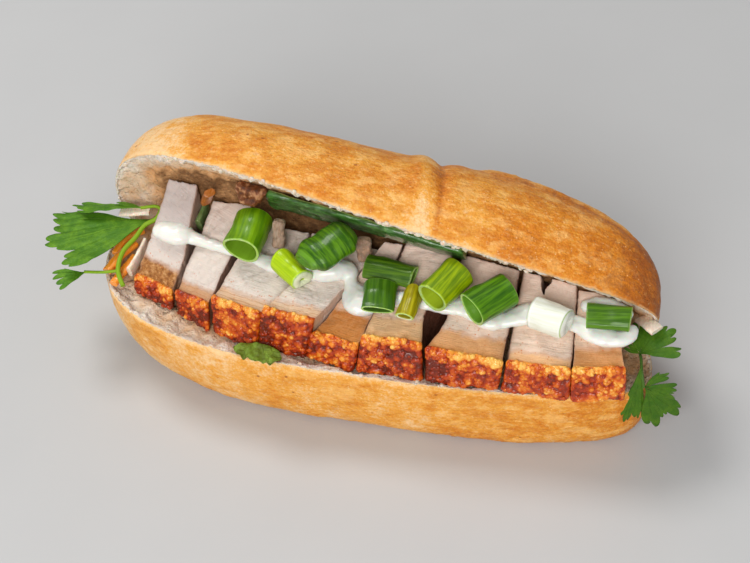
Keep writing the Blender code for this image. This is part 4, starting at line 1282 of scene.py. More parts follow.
class PORK_ROLL_OT_pork(bpy.types.Operator):
    """Make the nine slices of pork and the blisters on their rind"""

    bl_idname = "pork_roll.pork"
    bl_label = "Pork slices"

    def execute(self, context):
        pork = context.scene.pork_roll_pork
        roll = Roll(context.scene.pork_roll_bread)
        meat = pork_finish(pork)
        bubble = bubble_finish(pork)
        for n in range(len(SLICES)):
            data = slice_mesh(roll, n, pork)
            node = "pork_slice_%d" % (n + 1)
            stand_for(show("pork_%d" % (n + 1), data, meat), node)
            blisters = grown(
                "blisters_%d" % (n + 1), data, scattered_beads, Material=bubble,
                Density=700000.0, Seed=pork.seed + 7 * n, Least=0.30 * MM, Most=0.80 * MM,
                Flat=0.75, Sink=-0.3)
            stand_for(link("crackling_%d" % (n + 1), blisters), node)
        return {"FINISHED"}


# Loose pieces of pork: size, centre, turn in degrees, browning, material slot.
ENDS = (
    ((9.0, 4.5, 7.5), (-42.6, 9.0, 70.6), (-17.2, 11.5, 0.0), 1.0, "roasted_edge"),
    ((4.2, 4.2, 10.0), (-32.0, 3.8, 58.9), (-11.5, 5.7, 11.5), 0.15, "roast_pork"),
    ((5.0, 3.6, 9.0), (-1.2, 2.2, 58.4), (-5.7, 0.0, 5.7), 0.4, "roast_pork"),
)

# Colours of their cut faces and of their browned faces.
END_PALE, END_FIBRE = (0.52, 0.38, 0.28), (0.38, 0.24, 0.16)
END_BROWN = (
    (0.35, (0.07, 0.016, 0.002)), (0.5, (0.20, 0.052, 0.008)), (0.62, (0.50, 0.24, 0.11)))


def end_mesh(n):
    """A rough lump with rounded edges, the more wedge-shaped the browner it is."""
    across, centre, turn_by, brown, _ = ENDS[n]
    shares, faces = box_shell(34, 24, 34)
    half = np.array(across) / 2.0
    p = rounded((shares - 0.5) * 2.0 * half, half, 0.36 * min(across))
    p[:, 0] *= 1.0 + 0.30 * brown * p[:, 2] / half[2]
    p = p * (1.0 + 0.14 * lumps(p + 20.0 * n, 5.0, 81))[:, None]
    place = p @ turned(turn_by).T + np.array(centre)
    data = mesh_of("end", place, faces, {"meat": p, "brown": np.full(len(p), brown)})
    roughen(data, (0.42, 2.2, 82), (0.2, 0.9, 83))
    return data


def end_finish():
    """Browned roast meat with a paler cut face."""
    f = Finish("pork_end", Subsurface_Weight=0.1, Subsurface_Scale=0.001)
    p = f.layer_place("meat")
    fibre = f.noise(f.vectors("MULTIPLY", p, (1.2, 0.8, 0.25)), 1.5, 5.0, 0.7)
    patch = f.noise(p, 0.45, 3.0)
    pale = f.mix(fibre.over(0.4, 0.65), END_PALE, END_FIBRE)
    colour = f.mix(f.layer("brown"), pale, f.ramp(patch, *END_BROWN))
    return f.feed(
        Base_Color=colour, Roughness=0.30 + patch * 0.25, Normal=f.bump(fibre + patch * 0.6, 0.6))


class PORK_ROLL_OT_ends(bpy.types.Operator):
    """Make the loose pieces of pork behind the slices"""

    bl_idname = "pork_roll.ends"
    bl_label = "Pork ends"

    def execute(self, context):
        finish = end_finish()
        for n, row in enumerate(ENDS):
            piece = show("pork_end_piece_%d" % (n + 1), end_mesh(n), finish)
            stand_for(piece, "pork_end_%d" % (n + 1))
        return {"FINISHED"}


# ---------------------------------------------------------------- spring onions


# Cut lengths: length, width, height, centre, yaw, pitch, roll, wall, colour.
ONIONS = (
    (13.8, 13.4, 12.6, (-41.8, 0.6, 59.4), -94.0, 6.0, 0.0, 1.0, "green"),
    (12.0, 8.4, 7.8, (-24.0, -9.4, 55.7), -38.0, 4.0, 0.0, 3.6, "yellow"),
    (17.2, 15.6, 10.2, (-11.5, -5.2, 64.6), 50.0, -7.0, -14.0, 5.0, "dark"),
    (17.0, 9.0, 5.0, (9.6, -4.4, 56.4), -8.0, 0.0, 16.0, 0.9, "dark"),
    (11.0, 11.4, 7.0, (8.4, -16.0, 54.9), -84.0, 2.0, 0.0, 0.9, "dark"),
    (12.2, 6.6, 6.0, (19.3, -16.5, 54.6), -93.0, 0.0, 0.0, 1.0, "yellow"),
    (14.2, 11.4, 11.2, (30.3, -9.7, 58.7), 63.0, -4.0, 0.0, 1.1, "green"),
    (14.4, 12.6, 11.4, (45.8, -12.0, 57.0), 45.0, -4.0, 0.0, 0.9, "green"),
    (11.0, 11.0, 9.6, (66.4, -14.8, 55.6), -15.0, 0.0, 0.0, 4.4, "white"),
    (14.0, 9.0, 6.0, (85.0, -10.6, 55.0), 4.0, 0.0, 8.0, 0.9, "green"),
)

# Colours of each length: skin and lighter streaks.
ONION_TINTS = (
    ((0.075, 0.20, 0.0005), (0.18, 0.36, 0.001)), ((0.31, 0.48, 0.002), (0.44, 0.62, 0.004)),
    ((0.024, 0.095, 0.0003), (0.100, 0.25, 0.003)), ((0.022, 0.078, 0.0003), (0.090, 0.19, 0.003)),
    ((0.026, 0.095, 0.0003), (0.065, 0.17, 0.001)), ((0.24, 0.20, 0.0015), (0.46, 0.40, 0.004)),
    ((0.12, 0.225, 0.0003), (0.34, 0.46, 0.002)), ((0.024, 0.098, 0.0003), (0.100, 0.26, 0.001)),
    ((0.80, 0.82, 0.66), (0.86, 0.87, 0.78)), ((0.034, 0.110, 0.0005), (0.095, 0.23, 0.003)),
)

# Lengths that are pressed flat at their +X end, by their place in ONIONS, and how far.
ONION_PINCH = {4: 0.55, 5: 0.5}

# The flat folded leaf, whose veins run across it.
FOLDED = 2

ONION_AROUND = 120
ONION_ALONG = 34
LIP = (0.06, 0.25, 0.5, 0.75)       # shares across the cut edge
LIP_BULGE = 0.3                     # how far it stands out, in walls


def onion_profile(length, wall):
    """The wall's section: shares along from -0.5 to 0.5, and across from outside to inside."""
    along = np.linspace(-0.5, 0.5, ONION_ALONG)
    lip = np.array(LIP)
    end = 0.5 + LIP_BULGE * wall / length * np.sin(math.pi * lip)
    return np.concatenate([
        grid_of(along, 0.0), grid_of(end, lip),
        grid_of(along[::-1], 1.0), grid_of(-end, lip[::-1])])


def onion_mesh(n, onion):
    """A ribbed hollow leaf, cut off square at both ends."""
    length, width, height, centre, yaw, pitch, roll, wall, _ = ONIONS[n]
    profile = onion_profile(length, wall)
    x = profile[:, :1] * length
    across = profile[:, 1:]
    deep = across * wall
    a = np.arange(ONION_AROUND)[None, :] * FULL_TURN / ONION_AROUND
    c, s = np.cos(a), np.sin(a)
    vein = grid_of(6.0 * c, 6.0 * s, 0.03 * x)
    ribs = 2.0 * lumps(vein + 5.0 * n, 0.9, 92) + 2.0 * lumps(vein, 2.2, 93)
    ribs = onion.rib / MM * ribs * (1.0 - across)
    wave = 1.0 + 0.05 * np.sin(3.0 * a + 1.3 * length) + 0.025 * np.sin(2.0 * a + 0.25 * x + n)
    dent = 0.35 * lumps(grid_of(x, 4.0 * c, 4.0 * s) + 9.0 * n, 4.0, 91)
    y = (width / 2.0 - deep + dent) * c * wave + ribs * c
    z = (height / 2.0 - deep + dent) * s * wave + ribs * s
    skew = 0.05 * (y + 0.6 * z) * np.sign(x) * rise(np.abs(x) / length, 0.2, 0.5)
    z = z * (1.0 - ONION_PINCH.get(n, 0.0) * rise(x / length, -0.1, 0.5))
    if n == FOLDED:
        close = 1.0 - 0.30 * rise(-x / length, 0.25, 0.55) ** 2
        close = close - 0.25 * rise(x / length, 0.3, 0.55) ** 2
        crumple = 0.18 * lumps(grid_of(x, y, z), 4.0, 94)
        y, z = y * close, z * close ** 1.6 + crumple
        leaf, inward = grid_of(0.9 * x, 0.06 * y, 0.12 * z), 0.0 * y
    else:
        twist = a + 0.02 * x
        leaf = grid_of(3.0 * np.cos(twist), 3.0 * np.sin(twist), 0.035 * x)
        inward = across + 0.0 * a
    local = grid_of(x + skew, y, z).reshape(-1, 3)
    place = local @ turned((roll, pitch, yaw)).T + np.array(centre)
    faces = grid_faces(len(profile), ONION_AROUND, closed=True)
    start = (len(profile) - 1) * ONION_AROUND
    for j in range(ONION_AROUND):
        k = (j + 1) % ONION_AROUND
        faces.append((start + j, start + k, k, j))
    layers = {
        "leaf": leaf.reshape(-1, 3), "inward": inward.ravel(),
        "along": (profile[:, :1] + 0.0 * a).ravel(), "deep": (deep + 0.0 * a).ravel(),
    }
    return mesh_of("onion", place, faces, layers)


def onion_finish(name, skin, light, onion, pithy):
    """A wet leaf with fine lines along it, pale where it is cut and inside."""
    f = Finish("onion_" + name, Specular_IOR_Level=0.25, Coat_Weight=0.2, Coat_Roughness=0.03)
    p = f.layer_place("leaf")
    lines = f.noise(p, 4.5, 4.0, 0.7)
    streak = f.noise(p, 1.2, 3.0, 0.6)
    patch = f.noise(f.place(), 0.16, 2.0)
    inward, along, deep = f.layer("inward"), f.layer("along"), f.layer("deep")
    tip = (along * along * 4.0 + (streak - 0.5) * 0.12).over(0.90, 1.0)
    colour = f.coats(
        f.mix(streak.over(0.40, 0.66), skin, light),
        (lines.over(0.55, 0.75) * 0.40, toned(skin, 0.55)),
        (lines.over(0.42, 0.30) * 0.35, toned(light, 1.5, 0.01)),
        (patch.over(0.5, 0.75) * 0.35, light),
        (tip * 0.4, toned(light, 1.4, 0.03)),
    )
    pith = light if light[2] > 0.5 else tuple(onion.pith)
    white = f.mix(f.noise(p, 1.2, 3.0).over(0.35, 0.7), pith, toned(pith, 0.88))
    rings = (deep * 4.2 + streak * 1.5).sine().over(0.3, 1.0)
    white = f.mix(rings * 0.25, white, toned(pith, 0.72))
    pale = f.mix(
        f.noise(p, 1.6, 3.0).over(0.4, 0.65), onion.inside, toned(onion.inside, 0.8, 0.14))
    pale = f.mix((deep + (streak - 0.5) * 0.4).over(0.35, 0.75) * pithy, pale, white)
    hollow = f.mix(streak, toned(light, 0.9, 0.01), toned(light, 1.2, 0.03))
    colour = f.coats(
        colour,
        (inward.over(0.93, 1.0), hollow),
        (inward.over(0.02, 0.10) * inward.over(1.0, 0.93), pale),
    )
    relief = lines * 0.6 + streak * 0.3
    return f.feed(Base_Color=colour, Roughness=lines * 0.18 + 0.24, Normal=f.bump(relief, 0.18))


class PORK_ROLL_OT_onions(bpy.types.Operator):
    """Make the cut lengths of spring onion"""

    bl_idname = "pork_roll.onions"
    bl_label = "Spring onions"

    def execute(self, context):
        onion = context.scene.pork_roll_onion
        for n, (*_, colour) in enumerate(ONIONS):
            pithy = 1.0 if colour in ("yellow", "white") else 0.0
            finish = onion_finish("%d" % (n + 1), *ONION_TINTS[n], onion, pithy)
            piece = show("onion_%d" % (n + 1), onion_mesh(n, onion), finish)
            stand_for(piece, "spring_onion_%d" % (n + 1))
        return {"FINISHED"}


# ---------------------------------------------------------------- mayonnaise


# The strand: X, Y, width, height above the pork.
MAYO_RUN = (
    (-76.8, 6.0, 8.0, 5.4), (-71.5, 5.6, 9.4, 6.2), (-65.6, 5.0, 5.0, 4.0), (-58.0, 3.4, 4.6, 3.6),
    (-50.6, 1.6, 5.0, 3.6), (-41.5, -1.4, 5.4, 3.8), (-32.5, -3.8, 6.4, 4.0),
    (-20.0, -6.4, 8.0, 6.2), (-11.6, -4.9, 8.5, 7.4), (-5.6, -3.6, 7.0, 5.6),
    (-3.4, -7.6, 4.4, 4.2), (1.2, -12.4, 12.8, 7.8), (8.0, -12.0, 6.0, 4.2),
    (15.0, -12.0, 7.0, 4.2), (23.0, -12.0, 6.5, 4.2), (30.5, -11.6, 6.5, 4.2),
    (37.0, -10.4, 8.0, 4.6), (43.5, -13.2, 8.6, 4.8), (50.6, -13.0, 7.0, 4.3),
    (58.4, -9.8, 8.0, 4.5), (66.0, -9.6, 7.6, 4.6), (74.0, -10.8, 6.4, 4.4),
    (82.5, -13.2, 9.0, 5.2), (88.4, -14.0, 7.0, 4.8), (92.2, -11.4, 5.6, 4.6),
    (90.0, -5.4, 5.4, 4.4), (82.6, -3.4, 6.0, 4.8), (77.0, -4.6, 4.6, 4.0),
)
MAYO_LIFT = 0.26        # of the strand's middle above the pork, as a share of its height
MAYO_SPREAD = 1.06      # how much wider its beads are
MAYO_CLEAR = 0.36       # room that a bead needs beside an onion, as a share of its height
MAYO_STEPS = 14         # beads from one place of the strand to the next
MAYO_ROUNDS = 6         # of smoothing


def in_onion(where, room):
    """Whether a bead of this half height would reach into a length of spring onion."""
    for length, width, height, centre, yaw, pitch, roll, _, _ in ONIONS:
        local = (where - np.array(centre)) @ turned((roll, pitch, yaw))
        reach = math.hypot(local[1] / (width / 2.0 + room), local[2] / (height / 2.0 + room))
        if abs(local[0]) < length / 2.0 + 0.4 * room and reach < 1.0:
            return True
    return False


def mayo_beads():
    """Overlapping soft beads along the strand."""
    knots = []
    for x, y, wide, high in MAYO_RUN:
        level = sum(pork_top(x + d, y) for d in (-4.0, 0.0, 4.0)) / 3.0
        knots.append((x, y, level + high * MAYO_LIFT, wide * MAYO_SPREAD, high))
    bm = bmesh.new()
    for x, y, z, wide, high in catmull(knots, MAYO_STEPS):
        where = np.array((x, y, z))
        if in_onion(where, MAYO_CLEAR * high):
            continue
        swell = 1.0 + 0.16 * float(lumps(where, 6.0, 95)) + 0.10 * float(lumps(where, 2.6, 96))
        made = bmesh.ops.create_icosphere(bm, subdivisions=2, radius=1.0)["verts"]
        spread = [across / 2.0 * swell for across in (wide, wide, high)]
        place = Matrix.Translation((x, y, z)) @ Matrix.Diagonal((*spread, 1.0))
        bmesh.ops.transform(bm, matrix=place, verts=made)
    bmesh.ops.scale(bm, vec=(MM, MM, MM), verts=bm.verts)
    data = bpy.data.meshes.new("beads")
    bm.to_mesh(data)
    bm.free()
    return data


def melted(data, voxel, rounds):
    """One smooth skin round a heap of overlapping shapes."""
    holder = link("melt", data)
    skin = holder.modifiers.new("skin", "REMESH")
    skin.mode = "VOXEL"
    skin.voxel_size = voxel
    soft = holder.modifiers.new("soft", "SMOOTH")
    soft.factor = 0.5
    soft.iterations = rounds
    made = evaluated(holder)
    soften(made)
    return made


class PORK_ROLL_OT_sauce(bpy.types.Operator):
    """Make the strand of mayonnaise"""

    bl_idname = "pork_roll.sauce"
    bl_label = "Mayonnaise"

    def execute(self, context):
        sauce = context.scene.pork_roll_sauce
        data = melted(mayo_beads(), sauce.grain, MAYO_ROUNDS)
        roughen(data, (0.30, 3.4, 97), (0.12, 1.3, 98))
        f = Finish(
            "mayonnaise", Coat_Weight=0.35, Coat_Roughness=0.12, Subsurface_Weight=0.35,
            Subsurface_Scale=0.002)
        patch = f.noise(f.place(), 0.25, 2.0)
        colour = f.mix(patch, sauce.colour, toned(sauce.colour, 0.94))
        finish = f.feed(Base_Color=colour, Roughness=patch * 0.12 + 0.26)
        stand_for(show("sauce", data, finish), "mayonnaise")
        return {"FINISHED"}


# ---------------------------------------------------------------- salad


# The baton: X, Z and height at its ends, thickness, and how far its middle is off the crumb.
BATON_X, BATON_Z, BATON_HIGH = (-37.0, 34.0), (68.0, 62.5), (12.5, 9.5)
BATON_THICK, BATON_OUT = 3.0, 2.3
CUCUMBER_GRID = (90, 56)
CUCUMBER_FLECK = (0.20, 0.36, 0.09)


def cucumber_mesh(roll):
    """A baton of cucumber lying along the crumb of the top half."""
    steps, turns = CUCUMBER_GRID
    f = np.linspace(0.0, 1.0, steps)
    x = mixed(*BATON_X, f)
    z = mixed(*BATON_Z, f) + 1.2 * np.sin(3.0 * f)
    up = grid_of(0.0, roll.wall(x, z + 3.0) - roll.wall(x, z - 3.0), 0.0 * x + 6.0)
    up /= np.linalg.norm(up, axis=-1, keepdims=True)
    out = grid_of(0.0, -up[:, 2], up[:, 1])
    middle = grid_of(x, roll.wall(x, z), z) + out * BATON_OUT
    c, s = squared(np.arange(turns) * FULL_TURN / turns, 0.6, 0.8)
    shrink = np.minimum(1.0, 0.8 + 0.2 * np.minimum(f, 1.0 - f) / 0.02)
    wide = (mixed(*BATON_HIGH, f) * shrink / 2.0)[:, None, None]
    thick = (BATON_THICK * shrink / 2.0)[:, None, None]
    rings = middle[:, None] + up[:, None] * wide * c[None, :, None]
    rings = rings + out[:, None] * thick * s[None, :, None]
    stack = capped(rings, middle, (0.2, 0.6, 1.0))
    cap = np.ones((3, turns))
    flesh = np.concatenate([cap, np.broadcast_to(s < -0.2, (steps, turns)), cap])
    faces = grid_faces(len(stack), turns, closed=True)
    data = mesh_of("cucumber", stack.reshape(-1, 3), faces, {"flesh": flesh.reshape(-1)})
    roughen(data, (0.3, 4.0, 101), (0.12, 1.4, 102))
    return data


def cucumber_finish(salad):
    """Streaked dark skin on one side and pale flesh on the other."""
    f = Finish(
        "cucumber", Coat_Weight=0.7, Coat_Roughness=0.1, Subsurface_Weight=0.08,
        Subsurface_Scale=0.001)
    streak = f.noise(f.place((0.12, 1.0, 1.0)), 1.0, 4.0, 0.6)
    spots = f.noise(f.place(), 0.6, 3.0)
    colour = f.coats(
        f.mix(streak.over(0.42, 0.62), salad.skin, toned(salad.skin, 2.4, 0.01)),
        (spots.over(0.58, 0.72) * 0.5, CUCUMBER_FLECK),
        (f.layer("flesh") * 0.7, salad.flesh),
    )
    return f.feed(
        Base_Color=colour, Roughness=spots * 0.2 + 0.20, Normal=f.bump(streak + spots * 0.5, 0.4))


class PORK_ROLL_OT_cucumber(bpy.types.Operator):
    """Make the baton of cucumber behind the pork"""

    bl_idname = "pork_roll.cucumber"
    bl_label = "Cucumber"

    def execute(self, context):
        finish = cucumber_finish(context.scene.pork_roll_salad)
        data = cucumber_mesh(Roll(context.scene.pork_roll_bread))
        stand_for(show("cucumber", data, finish), "cucumber_baton")
        return {"FINISHED"}


# Depth of a leaf's teeth and of the clefts between its lobes, and how far its face waves.
TOOTH, CLEFT = 3.0, 4.6
LEAF_WAVE = 1.1


def blade(length, spread, teeth, lobes, seed, thick):
    """A fan-shaped lobe from the origin towards +X with rounded teeth, as a thin closed sheet."""
    shares, faces = box_shell(100, 30, 2)
    u, v, w = shares[:, 0] * 2.0 - 1.0, shares[:, 1], shares[:, 2] - 0.5
    fan = (u + 1.0) / 2.0 + 0.012 * np.sin(9.0 * u + seed)
    scallop = np.abs(np.sin(math.pi * teeth * fan)) ** 0.55
    clefts = np.abs(np.sin(math.pi * lobes * fan)) ** 0.4
    reach = length - TOOTH * (1.0 - scallop) - CLEFT * (1.0 - clefts)
    reach = reach * (1.0 - 0.04 * u * u - 0.07 * u)
    reach = reach * (1.0 + 0.05 * np.sin(7.0 * u + 2.0 * seed))
    open_by = np.radians(spread) * u * (0.55 + 0.45 * smooth(v / 0.6))
    x = reach * v * np.cos(open_by)
    y = reach * v * np.sin(open_by)
    flat = grid_of(x, y, seed)
    z = LEAF_WAVE * (0.8 * lumps(flat, 8.0, 111) + 0.4 * lumps(flat, 3.2, 112)) * v
    z = z - 0.02 * LEAF_WAVE * v * v * length + 0.10 * np.cos(math.pi * teeth * u) * v * v
    vein = np.abs(np.sin(math.pi * lobes * fan + 0.5 * math.pi)) * 4.0 / lobes
    branch = np.abs(np.cos(math.pi * teeth * fan)) * 0.55 + (1.0 - v) * 0.35
    points = grid_of(x, y, z + w * thick * (1.0 - 0.5 * v))
    vein = np.minimum(np.minimum(vein, np.abs(u) * 3.0), branch)
    return points, faces, {"vein": vein, "out": v, "tone": np.full(len(v), (seed % 1.0) * 0.9)}


def frilled(length, width, thick):
    """A scrap of soft salad leaf with a ruffled edge."""
    shares, faces = box_shell(90, 26, 2)
    u, v, w = shares[:, 0] * 2.0 - 1.0, shares[:, 1] * 2.0 - 1.0, shares[:, 2] - 0.5
    reach = np.maximum(1.0 - np.abs(u) ** 2.6, 0.0) ** 0.5
    frill = 1.0 + 0.10 * np.sin(11.0 * u + 1.0) + 0.07 * np.sin(23.0 * u)
    x = u * length / 2.0 * (1.0 + 0.03 * np.sin(5.0 * v))
    y = v * width / 2.0 * reach * np.where(v < 0.0, frill, 1.0)
    flat = grid_of(x, y, 40.0)
    z = 1.1 * lumps(flat, 4.2, 115) + 0.5 * lumps(flat, 1.8, 116)
    z = z + 0.5 * np.sin(1.9 * x) * np.clip(-v, 0.0, 1.0) ** 2
    vein = np.minimum(
        np.abs(v + 0.1 * np.sin(2.0 * u)) * 3.0, np.abs(lumps(flat, 2.6, 117)) * 2.5)
    points = grid_of(x, y, z + w * thick)
    return points, faces, {"vein": vein, "out": np.full(len(u), 0.4), "tone": 0.0 * u}


def stalk(knots, across):
    """A thin stalk through its knots."""
    path = catmull([(*k, across) for k in knots], 10)
    points, faces = rod(path[:, :3], path[:, 3], path[:, 3], 16)
    levels = {"vein": 0.0, "out": 0.0, "tone": 2.0}
    return points, faces, {name: np.full(len(points), value) for name, value in levels.items()}


def put(part, at, turn_by):
    """A part turned and then moved to its place."""
    points, faces, layers = part
    return points @ turned(turn_by).T + np.array(at), faces, layers


def fronds(rows, at, turn_by, thick):
    """A leaf of several lobes."""
    made = []
    for length, yaw, spread, teeth, lobes, lift, start, seed in rows:
        lobe = blade(length, spread, teeth, lobes, seed, thick)
        made.append(put(put(lobe, (start, 0.0, 0.0), (0.0, -lift, yaw)), at, turn_by))
    return made


# Leaves: lobes (length, direction, spread, teeth, clefts, lift, start, seed), stalk end, turn.
LEFT_FRONDS = (
    (((39.0, 0.0, 29.0, 9, 3, 1.0, 0.0, 1.2),), (-83.6, 15.6, 45.6), (4.0, 2.0, 207.5)),
    (((12.5, 0.0, 28.0, 4, 2, 0.0, 0.5, 7.2),), (-102.4, -7.8, 38.4), (-6.0, 4.0, 212.0)),
    (((30.0, 0.0, 9.0, 4, 1, 1.0, 0.0, 10.6), (12.0, -12.0, 12.0, 2, 1, 3.0, 3.0, 11.7)),
     (-85.0, 16.0, 50.6), (20.0, 7.0, 181.0)),
)
RIGHT_FRONDS = (
    (((13.4, 18.0, 28.0, 4, 2, 2.0, 0.4, 21.2), (14.2, 60.0, 28.0, 4, 2, 3.0, 0.4, 22.5),
      (11.8, 104.0, 24.0, 3, 1, 2.0, 0.4, 23.4), (6.0, 150.0, 28.0, 2, 1, 2.0, 0.2, 28.1)),
     (95.6, -11.4, 40.6), (14.0, -6.0, 4.0)),
    (((20.5, -65.0, 27.0, 5, 2, 0.0, 0.4, 24.2), (12.0, -16.0, 29.0, 3, 2, 2.0, 0.4, 25.5),
      (10.0, 46.0, 24.0, 3, 1, 3.0, 0.4, 26.4)),
     (98.6, -18.4, 32.4), (90.0, 0.0, 18.0)),
    (((28.0, -95.0, 10.0, 6, 1, 0.0, 0.4, 27.3),), (97.0, -18.4, 43.4), (90.0, 0.0, 18.0)),
)

# Stalks: knots of the middle line, and thickness.
LEFT_STALKS = (
    (((-80.8, 16.6, 50.6), (-82.0, 13.4, 48.4), (-86.0, 11.2, 46.4), (-88.0, 6.1, 44.8),
      (-90.8, -0.3, 43.2), (-90.4, -7.4, 41.0), (-87.0, -12.6, 38.8)), 1.7),
    (((-90.4, -7.6, 40.8), (-96.0, -8.2, 39.6), (-103.4, -8.2, 38.4)), 1.1),
    (((-81.0, 16.4, 50.6), (-83.2, 16.2, 51.6), (-88.0, 14.6, 51.4)), 1.2),
    (((-82.0, 13.6, 48.4), (-82.8, 14.8, 46.9), (-84.6, 15.0, 45.6)), 1.4),
)
RIGHT_STALKS = (
    (((95.6, -4.0, 34.4), (95.8, -9.4, 38.4), (96.6, -13.0, 39.8), (97.6, -17.6, 38.2),
      (98.6, -18.4, 32.4)), 1.0),
)

# The scrap of salad leaf: length, width, place and turn.
SCRAP = (17.0, 7.0, (-31.6, -30.9, 35.1), (8.0, 0.0, -4.0))

# Stalk colour of the right sprig, darkened as painted shade.
SHADED_STALK = (0.07, 0.15, 0.02)
SCRAP_DARK = (0.09, 0.12, 0.006)


def leaf_finish(name, dark, light, stalk_colour):
    """A thin leaf with paler veins, or a stalk where tone is over 1."""
    f = Finish(name, Specular_IOR_Level=0.25)
    p = f.place()
    patch = f.noise(p, 0.28, 3.0)
    fine = f.noise(p, 1.4, 4.0, 0.6)
    vein = f.layer("vein").over(0.16, 0.03) * f.layer("out").over(0.98, 0.5)
    colour = f.coats(
        f.mix((patch * 0.7 + fine * 0.5).over(0.45, 0.85), dark, light),
        (vein * 0.30, toned(light, 1.4, 0.01)),
        (f.layer("tone").over(1.4, 1.6), stalk_colour),
    )
    relief = fine * 0.5 - vein * 0.6
    return f.feed(Base_Color=colour, Roughness=fine * 0.2 + 0.42, Normal=f.bump(relief, 0.4))


class PORK_ROLL_OT_leaves(bpy.types.Operator):
    """Make the sprigs of coriander and the scrap of salad leaf"""

    bl_idname = "pork_roll.leaves"
    bl_label = "Coriander and salad leaf"

    def execute(self, context):
        salad = context.scene.pork_roll_salad
        thick = salad.thick / MM
        herb = leaf_finish("coriander", salad.herb, salad.herb_light, salad.stalk)
        # A darker copy of the coriander colours, as painted shade on the right sprig.
        deep = leaf_finish(
            "coriander_deep", toned(salad.herb, 0.7), toned(salad.herb_light, 0.55), SHADED_STALK)
        for name, leaves, stalks, finish in (
            ("coriander_left", LEFT_FRONDS, LEFT_STALKS, herb),
            ("coriander_right", RIGHT_FRONDS, RIGHT_STALKS, deep),
        ):
            parts = [part for leaf in leaves for part in fronds(*leaf, thick)]
            parts += [stalk(*row) for row in stalks]
            piece = show(name + "_sprig", mesh_of(name, *together(parts)), finish)
            stand_for(piece, name)
        length, width, at, turn_by = SCRAP
        scrap = put(frilled(length, width, thick * 2.0), at, turn_by)
        frill = leaf_finish("salad_leaf", SCRAP_DARK, toned(salad.lettuce, 0.72), salad.lettuce)
        stand_for(show("salad_scrap", mesh_of("salad", *scrap), frill), "salad_leaf")
        return {"FINISHED"}


# Pickled strips: name, knots of the middle line, width and height.
STRIPS = (
    ("carrot_strip_1", ((-95.5, -6.5, 38.5), (-93.0, 1.0, 39.5), (-89.5, 8.0, 40.0)), 3.4, 2.4),
    ("carrot_strip_2", ((-91.5, -11.0, 37.4), (-89.6, -4.5, 38.0), (-87.6, 2.5, 38.6)), 3.2, 2.4),
    ("carrot_strip_3", ((-96.0, 3.0, 38.0), (-94.0, 10.0, 39.4), (-89.0, 15.0, 40.0)), 3.0, 2.4),
    ("carrot_strip_4", ((-63.4, 17.0, 56.4), (-61.8, 15.6, 60.2), (-59.6, 13.4, 64.6)), 4.0, 2.6),
    ("cucumber_strip_1", ((-65.4, 12.5, 48.4), (-65.2, 16.5, 49.4), (-65.0, 20.5, 50.2)), 2.2, 7.0),
    ("radish_strip_1", ((-97.0, 16.5, 46.5), (-91.0, 16.5, 47.6), (-85.5, 17.0, 48.6)), 5.0, 1.6),
    ("radish_strip_2", ((-86.9, -6.0, 39.0), (-85.7, 1.0, 40.2), (-85.3, 8.0, 41.0)), 1.8, 5.0),
    ("radish_strip_3", ((94.5, 1.5, 44.0), (97.5, -2.5, 46.0), (100.5, -5.0, 46.0)), 5.5, 1.6),
)

# The strip of carrot that stands deep between two slices, darkened as painted shade.
SHADED_STRIP = "carrot_strip_4"


def pickle_finish(name, colour, clear):
    """Wet flesh with a grain along it, and how far light goes in."""
    f = Finish(
        "pickled_" + name, Coat_Weight=0.5, Coat_Roughness=0.12, Subsurface_Weight=clear,
        Subsurface_Scale=0.002)
    grain = f.noise(f.place((1.0, 0.3, 1.0)), 1.2, 4.0, 0.6)
    shade = f.mix(grain.over(0.35, 0.7), colour, toned(colour, 1.25, 0.04))
    return f.feed(Base_Color=shade, Roughness=grain * 0.2 + 0.25, Normal=f.bump(grain, 0.3))


class PORK_ROLL_OT_pickles(bpy.types.Operator):
    """Make the strips of pickled carrot and radish"""

    bl_idname = "pork_roll.pickles"
    bl_label = "Pickled strips"

    def execute(self, context):
        salad = context.scene.pork_roll_salad
        kinds = (
            ("carrot", salad.carrot, 0.1), ("radish", salad.radish, 0.3),
            # The last is a darker carrot colour, painted shade.
            ("cucumber", toned(salad.flesh, 0.45), 0.1), ("shaded", toned(salad.carrot, 0.42), 0.0),
        )
        finishes = {kind: pickle_finish(kind, colour, clear) for kind, colour, clear in kinds}
        for name, knots, wide, high in STRIPS:
            data = mesh_of(name, *rod(catmull(knots, 16), wide, high, 32, 0.7))
            roughen(data, (0.14, 2.0, 121), (0.05, 0.8, 122))
            kind = name.split("_")[0]
            finish = finishes["shaded" if name == SHADED_STRIP else kind]
            stand_for(show(name + "_piece", data, finish), name)
        return {"FINISHED"}


# ---------------------------------------------------------------- stage


# What the camera looks at in millimetres, and its lens.
AIM = (-0.19, 8.32, 36.83)
LENS, SENSOR = 85.0, 36.0

# Soft lights: name, place, size and power, and colour. They face the middle of the roll.
LIGHTS = (
    ("key", (-0.50, 0.28, 1.05), 0.45, 6.2, (1.0, 0.985, 0.96)),
    ("fill", (0.05, -1.10, 0.72), 0.8, 13.5, (1.0, 0.99, 0.98)),
)
LIT = (0.0, 0.0, 0.03)
ROOM, ROOM_STRENGTH = (0.96, 0.98, 1.0, 1.0), 0.34

FLOOR_HALF = 3.0
FLOOR_GAP = 0.0002      # between the floor and the roll, so that they don't share a plane


def camera_matrix(stage):
    """Where the camera stands and how it is turned."""
    a, e = stage.azimuth, stage.elevation
    back = Vector((math.sin(a) * math.cos(e), -math.cos(a) * math.cos(e), math.sin(e)))
    right = Vector((math.cos(a), math.sin(a), 0.0))
    up = back.cross(right)
    c, s = math.cos(stage.roll), math.sin(stage.roll)
    made = Matrix((right * c + up * s, up * c - right * s, back)).transposed().to_4x4()
    made.translation = Vector(AIM) * MM + back * stage.distance
    return made


